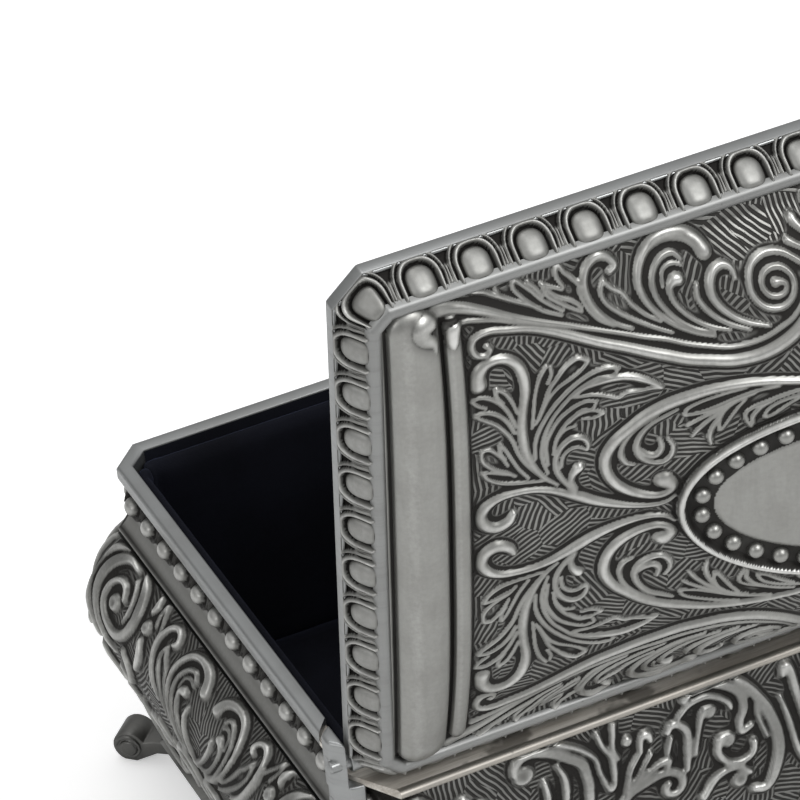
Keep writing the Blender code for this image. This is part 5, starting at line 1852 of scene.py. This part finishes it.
    def two_tone(self, name: str, bm: bmesh.types.BMesh, finish: Finish, second: Finish,
                 chosen: Callable[[bpy.types.MeshPolygon], bool]) -> None:
        """Makes a piece of the case in two finishes.

        Args:
            name: The piece's name.
            bm: Its mesh, in the body's own millimetres.
            finish: The finish of most faces.
            second: The finish of the chosen faces.
            chosen: Tells whether a face is one of them.
        """
        bmesh.ops.recalc_face_normals(bm, faces=bm.faces)
        bmesh.ops.transform(bm, matrix=body_place(), verts=bm.verts)
        piece = self.make.from_bmesh(name, bm, finish, Body.CASE, smooth=50.0)
        piece.data.materials.append(self.make.rack.get(second))
        for face in piece.data.polygons:
            face.material_index = int(chosen(face))

    def build_rim(self) -> None:
        """The plain rim round the front and sides, mitred at the back."""
        rows = []
        for offset, depth in self.rim_profile:
            x, cut = HALF_LENGTH + offset, corner_cut(offset)
            end = self.rim_end + offset * self.slant
            front = -DEPTH - offset
            plan = [(x, end), (x, front + cut), (x - cut, front), (-x + cut, front),
                    (-x, front + cut), (-x, end)]
            rows.append([(px, py, -depth) for px, py in plan])
        bm = sheet_of(rows)
        verts = list(bm.verts)
        for k in (0, 5):
            bm.faces.new(verts[k::6])
        self.two_tone("body_rim", bm, SATIN, VELVET, lambda face: (
            RIM_HEIGHT * MM - face.center.z > 0.003 and abs(face.normal.z) < 0.1
            and face.area > 1e-4))

    def build_ledge(self) -> None:
        """The lowered ledge along the back with its rounded edge."""
        rows = []
        for offset, depth in self.ledge_profile:
            side = -1.4 if depth == self.ledge_profile[-1][1] else min(offset, 0.0)
            x, start = HALF_LENGTH + side, self.ledge_end + side * self.slant
            bx, by = BACK_CUT[0], BACK_CUT[1] + offset
            if offset <= 0:
                bx = by = corner_cut(offset)
            plan = [(x, start), (x, offset - by), (x - bx, offset), (-x + bx, offset),
                    (-x, offset - by), (-x, start)]
            rows.append([(px, py, -depth) for px, py in plan])
        bm = sheet_of(rows)
        edge = BACK_TO_MIDDLE * MM + 0.0031
        self.two_tone("body_ledge", bm, WARM_LEDGE, LEDGE_EDGE_LIGHT, lambda face: face.center.y > edge)

    def build_underside(self) -> None:
        """The ring between the walls' foot and the base plate."""
        loops = [np.concatenate([ring_corners(side, side), np.full((8, 1), -depth)], axis=1)
                 for side, depth in ((-0.8, 51.8), (-3.4, 51.8), (-3.4, 46.0))]
        sweep_rings(self.make, "body_bottom_ring", loops, body_place(), SATIN, Body.CASE)

    def build(self) -> None:
        """Makes the body."""
        self.build_walls()
        self.build_neck()
        self.build_rim()
        self.build_ledge()
        self.build_underside()
        for side in (1, -1):
            HingeEar(self.make, side).build()
        for label in ("front_left", "front_right", "back_left", "back_right"):
            ScrollFoot(self.make, label).build()


def tube(bm: bmesh.types.BMesh, path: Sequence[Vector], radius: float, sides: int = 7) -> None:
    """Sweeps a round bar along a path, thinning to its ends.

    Args:
        bm: The mesh that it is added to.
        path: The points that it follows.
        radius: Its radius at the middle.
        sides: The faces round it.
    """
    rings = []
    for k, point in enumerate(path):
        ahead = (path[min(k + 1, len(path) - 1)] - path[max(k - 1, 0)]).normalized()
        place = Matrix.Translation(point) @ ahead.to_track_quat("Z", "Y").to_matrix().to_4x4()
        thin = 0.35 if k in (0, len(path) - 1) else 1.0
        rings.append(bmesh.ops.create_circle(bm, cap_ends=False, segments=sides,
                                             radius=radius * thin, matrix=place)["verts"])
    for low, high in zip(rings, rings[1:]):
        bmesh.ops.bridge_loops(bm, edges=ring_edges(low) + ring_edges(high))
    bm.faces.new(list(reversed(rings[0])))
    bm.faces.new(rings[-1])


@dataclass
class HingeEar:
    """One hinge ear on an end wall, with its pin boss and a stud below."""

    make: Maker
    side: int
    plate: Profile = ((0.35, -6.6), (2.3, -4.9), (2.3, -2.9),
                                              (0.35, -0.9))
    plate_span: Triple = (-2.6, 5.4, 0.55)
    tail: Profile = ((-1.8, -7.4), (0.35, -6.9), (2.0, -4.9),
                                             (2.0, -2.9), (0.35, -0.9), (-1.8, -0.6))
    tail_span: Triple = (-13.5, -1.9, 0.35)
    boss: tuple[float, float, float, float] = (-HINGE_IN - 1.2, HINGE_UP, 1.2, 2.35)
    stud: tuple[float, float, float, float] = (-3.9, -5.6, 1.0, 2.1)
    boss_depth: float = 0.8

    def add_block(self, bm: bmesh.types.BMesh, plan: Sequence[tuple[float, float]], low: float,
                  high: float, rounding: float) -> None:
        """Adds an upright block with rounded edges.

        Args:
            bm: The mesh that it is added to.
            plan: Its plan, as offset outwards and distance back from the hinge side's edge.
            low: The height of its foot above the rim, in millimetres.
            high: The height of its top.
            rounding: How far its edges are rounded.
        """
        verts = [bm.verts.new((self.side * (HALF_LENGTH + x), y, low)) for x, y in plan]
        grown = bmesh.ops.extrude_face_region(bm, geom=[bm.faces.new(verts)])["geom"]
        tops = [v for v in grown if isinstance(v, bmesh.types.BMVert)]
        bmesh.ops.translate(bm, vec=(0.0, 0.0, high - low), verts=tops)
        solid = set(verts) | set(tops)
        edges = [e for e in bm.edges if set(e.verts) <= solid
                 and max(v.co.z for v in e.verts) > low + 0.1]
        rounded(bm, edges, rounding)

    def add_boss(self, bm: bmesh.types.BMesh, y: float, z: float, radius: float,
                 reach: float) -> None:
        """Adds a round boss that faces along the box.

        Args:
            bm: The mesh that it is added to.
            y: How far it lies back from the hinge side's edge, in millimetres.
            z: Its height above the rim.
            radius: Its radius.
            reach: How far its face lies outwards of the box's end.
        """
        x = HALF_LENGTH + reach - self.boss_depth / 2
        middle = Matrix.Translation((self.side * x, y, z))
        spin = Matrix.Rotation(math.pi / 2, 4, "Y")
        made = bmesh.ops.create_cone(bm, cap_ends=True, segments=24, radius1=radius,
                                     radius2=radius, depth=self.boss_depth,
                                     matrix=middle @ spin)
        own = set(made["verts"])
        rims = [e for e in bm.edges if set(e.verts) <= own and e.calc_face_angle(0.0) > 1.0]
        rounded(bm, rims, 0.3)

    def build(self) -> None:
        """Makes the ear."""
        bm = bmesh.new()
        self.add_block(bm, self.plate, *self.plate_span)
        self.add_block(bm, self.tail, *self.tail_span)
        self.add_boss(bm, *self.boss)
        self.add_boss(bm, *self.stud)
        bmesh.ops.recalc_face_normals(bm, faces=bm.faces)
        bmesh.ops.transform(bm, matrix=body_place(), verts=bm.verts)
        label = "right" if self.side > 0 else "left"
        self.make.from_bmesh(f"hinge_ear_{label}", bm, SATIN, Body.CASE, smooth=50.0)


@dataclass
class ScrollFoot:
    """One scroll foot: a rounded casting with a raised spiral on each side of its toe."""

    make: Maker
    label: str
    rounding: float = 0.25
    behind_tip: float = 2.7
    height: float = 2.5
    half_width: float = 2.55
    reach: tuple[float, float] = (2.15, 1.45)
    half_turns: float = 3.3
    steps: int = 24
    cord: float = 0.33

    def spiral(self, centre: Vector, out: Vector, aside: Vector) -> list[Vector]:
        """The path of one spiral, in metres.

        Args:
            centre: The middle of the toe's roll.
            out: The way that the toe points.
            aside: The way from the toe's middle to this side of it.

        Returns:
            The path's points from its wide end to its eye.
        """
        path = []
        for k in range(self.steps + 1):
            turn = k / self.steps * self.half_turns * math.pi
            reach = (self.reach[0] - self.reach[1] * k / self.steps) * MM
            path.append(centre + aside * self.half_width * MM + out * math.cos(turn) * reach
                        + Vector((0, 0, math.sin(turn) * reach)))
        return path

    def build(self) -> None:
        """Makes the foot from its own solid."""
        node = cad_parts[f"foot_{self.label}"]
        bm = bmesh.new()
        bm.from_mesh(node.data)
        bmesh.ops.remove_doubles(bm, verts=bm.verts, dist=1e-7)
        bmesh.ops.dissolve_limit(bm, angle_limit=math.radians(1.0), verts=bm.verts,
                                 edges=bm.edges)
        sharp = [e for e in bm.edges if len(e.link_faces) == 2
                 and e.calc_face_angle(0.0) > math.radians(50)]
        rounded(bm, sharp, self.rounding * MM, 2)
        x, y = (1 if "right" in self.label else -1), (1 if "back" in self.label else -1)
        out = Vector((x, y, 0.0)).normalized()
        across = Vector((-out.y, out.x, 0.0))
        far = max(v.co.dot(out) for v in bm.verts)
        middle = sum(v.co.dot(across) for v in bm.verts) / len(bm.verts)
        centre = (out * (far - self.behind_tip * MM) + across * middle
                  + Vector((0, 0, self.height * MM)))
        for sign in (1, -1):
            tube(bm, self.spiral(centre, out, across * sign), self.cord * MM)
        self.make.from_bmesh(f"scroll_foot_{self.label}", bm, SHADED_FOOT, Body.CASE,
                             (f"foot_{self.label}",), smooth=45.0)


@dataclass
class Lining:
    """The padded velvet inside: floor, four walls and lid."""

    make: Maker
    cell: float = 3.6
    start_smaller: float = 0.25
    most: float = 0.7
    pressure: float = 4.0
    mass: float = 0.1
    quality: int = 4
    frames: int = 15

    def pad(self, node: str, body: Body) -> None:
        """Replaces one plain pad with a softly filled one.

        Args:
            node: The plain pad's node.
            body: The group that it moves with.
        """
        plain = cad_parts[node]
        bm = bmesh.new()
        bm.from_mesh(plain.data)
        bmesh.ops.remove_doubles(bm, verts=bm.verts, dist=1e-6)
        bmesh.ops.dissolve_limit(bm, angle_limit=math.radians(0.5), verts=bm.verts,
                                 edges=bm.edges)
        low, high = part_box(node)
        size = [h - l for l, h in zip(low, high)]
        for axis, normal in enumerate(np.eye(3).tolist()):
            count = int(size[axis] / (self.cell * MM))
            for k in range(1, count + 1):
                where = [0.0, 0.0, 0.0]
                where[axis] = low[axis] + size[axis] * k / (count + 1)
                bmesh.ops.bisect_plane(bm, geom=bm.verts[:] + bm.edges[:] + bm.faces[:],
                                       dist=1e-7, plane_co=where, plane_no=normal)
        bmesh.ops.triangulate(bm, faces=[f for f in bm.faces if len(f.verts) > 4])
        bm.normal_update()
        for vert in bm.verts:
            vert.co -= vert.normal * self.start_smaller * MM
        mesh = bpy.data.meshes.new(node + "_velvet")
        bm.to_mesh(mesh)
        bm.free()
        mesh.shade_smooth()
        piece = self.make.finish(node + "_velvet", mesh, VELVET, body, (node,))
        self.fill(piece)

    def fill(self, piece: bpy.types.Object) -> None:
        """Swells a pad as cloth under pressure, then smooths it.

        Each point moves only outwards along its own normal, and by no more than the most.

        Args:
            piece: The pad.
        """
        mesh = piece.data
        count = len(mesh.vertices)
        before = np.empty(count * 3)
        mesh.vertices.foreach_get("co", before)
        cloth = piece.modifiers.new("fill", "CLOTH")
        cloth.settings.use_pressure = True
        cloth.settings.uniform_pressure_force = self.pressure
        cloth.settings.effector_weights.gravity = 0.0
        cloth.settings.quality = self.quality
        cloth.settings.mass = self.mass
        cloth.point_cache.frame_start = 1
        cloth.point_cache.frame_end = 20
        scene = bpy.context.scene
        for step in range(self.frames):
            scene.frame_set(step + 1)
        swollen = piece.evaluated_get(bpy.context.evaluated_depsgraph_get()).to_mesh()
        after = np.empty(count * 3)
        swollen.vertices.foreach_get("co", after)
        piece.modifiers.clear()
        out = np.empty(count * 3, np.float32)
        mesh.vertices.foreach_get("normal", out)
        out = out.reshape(-1, 3)
        reach = ((after - before).reshape(-1, 3) * out).sum(axis=1, keepdims=True)
        held = np.clip(reach, 0.0, self.most * MM)
        mesh.vertices.foreach_set("co", (before.reshape(-1, 3) + out * held).ravel())
        mesh.update()
        LOG.info("%s: swelled by up to %.2f mm", piece.name, float(held.max()) / MM)
        scene.frame_set(1)
        bm = bmesh.new()
        bm.from_mesh(mesh)
        bmesh.ops.subdivide_edges(bm, edges=bm.edges[:], cuts=1, smooth=0.6,
                                  use_grid_fill=True)
        bm.to_mesh(mesh)
        bm.free()
        mesh.shade_smooth()

    def build(self) -> None:
        """Makes all six pads."""
        for node in ("floor_pad", "wall_lining_back", "wall_lining_front",
                     "wall_lining_left", "wall_lining_right"):
            self.pad(node, Body.CASE)
        self.pad("lid_pad", Body.LID)


@dataclass
class Studio:
    """The floor, the lamps, the surroundings and the camera."""

    lamps: tuple[tuple[str, Triple, float, float], ...] = (
        ("key", (-0.45, 1.00, 1.20), 0.6, 10.5),
        ("fill", (1.3, 0.6, 0.8), 0.6, 3.0),
        ("top", (0.1, -0.3, 1.6), 0.7, 4.0))
    aim: Triple = (0.0, 0.0, 0.07)
    half_floor: float = 3.0
    focal_length: float = 210.424
    right: Triple = (-0.8995677, 0.4300807, -0.0762142)
    down: Triple = (0.3053685, 0.4945103, -0.8137627)
    ahead: Triple = (-0.3122949, -0.7553080, -0.5761785)
    eye: Triple = (0.2384326, 0.4760523, 0.4511598)

    def place(self, name: str, data: bpy.types.ID) -> bpy.types.Object:
        """Puts an object in the scene.

        Args:
            name: Its name.
            data: Its mesh, lamp or lens.

        Returns:
            The new object.
        """
        made = bpy.data.objects.new(name, data)
        bpy.context.scene.collection.objects.link(made)
        return made

    def surround(self) -> None:
        """A white backdrop to the eye, a soft sky brighter overhead to everything else."""
        world = bpy.data.worlds.new("studio")
        bpy.context.scene.world = world
        world.use_nodes = True
        sheet = Sheet(world.node_tree)
        for old in list(world.node_tree.nodes):
            world.node_tree.nodes.remove(old)
        path = sheet.node("ShaderNodeLightPath")
        seen = path["Is Camera Ray"].math("MAXIMUM", path["Is Transmission Ray"])
        glossy = path["Is Glossy Ray"]
        up = sheet.node("ShaderNodeSeparateXYZ", None,
                        {"Vector": sheet.node("ShaderNodeTexCoord")["Generated"]})["Z"]
        sky = up.between(-0.05, 0.85) * 0.42 + 0.22
        strength = sky * (1.0 - seen) + seen + glossy * 0.02
        light = sheet.node("ShaderNodeBackground", None, {"Color": (1.0, 1.0, 1.0),
                                                          "Strength": strength})
        sheet.node("ShaderNodeOutputWorld", None, {"Surface": light["Background"]})

    def lay_floor(self) -> None:
        """The matt floor, just under the feet."""
        bm = bmesh.new()
        bmesh.ops.create_grid(bm, x_segments=4, y_segments=4, size=self.half_floor)
        mesh = bpy.data.meshes.new("floor")
        bm.to_mesh(mesh)
        bm.free()
        floor = self.place("floor", mesh)
        floor.location.z = -0.0002
        mesh.materials.append(PaleFloor("pale_floor").build())

    def hang_lamps(self) -> None:
        """Square lamps that all face the box."""
        for name, where, size, power in self.lamps:
            lamp = bpy.data.lights.new(name, "AREA")
            lamp.shape = "SQUARE"
            lamp.size = size
            lamp.energy = power
            holder = self.place(name, lamp)
            holder.location = where
            toward = Vector(self.aim) - Vector(where)
            holder.rotation_euler = toward.to_track_quat("-Z", "Y").to_euler()

    def set_camera(self) -> None:
        """The camera that was fitted to the photograph."""
        lens = bpy.data.cameras.new("camera")
        lens.sensor_width = 36.0
        lens.sensor_fit = "HORIZONTAL"
        lens.lens = self.focal_length
        lens.clip_start = 0.01
        camera = self.place("camera", lens)
        turn = Matrix((self.right, -Vector(self.down), -Vector(self.ahead)))
        turn = turn.transposed().to_4x4()
        turn.translation = Vector(self.eye)
        camera.matrix_world = turn
        bpy.context.scene.camera = camera

    def build(self) -> None:
        """Sets up the whole studio."""
        bpy.context.scene.view_settings.view_transform = "Standard"
        self.surround()
        self.lay_floor()
        self.hang_lamps()
        self.set_camera()


# The finishes of the solids that the scene keeps, by a word in their names
PLAIN_PARTS = {"screw": STEEL, "pin": SATIN, "plate": SATIN, "board": BOARD}


def main() -> None:
    """Builds every sub-assembly in order."""
    logging.basicConfig(level=logging.INFO, format="%(message)s")
    make = Maker(Rack())
    Lid(make).build()
    LidEdge(make).build()
    Case(make).build()
    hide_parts("lid_shell")
    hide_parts("body_shell")
    Lining(make).build()
    for name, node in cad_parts.items():
        finish = next((kept for word, kept in PLAIN_PARTS.items() if word in name), VELVET)
        node.data.materials.clear()
        node.data.materials.append(make.rack.get(finish))
    Studio().build()


if __name__ == "__main__":
    main()
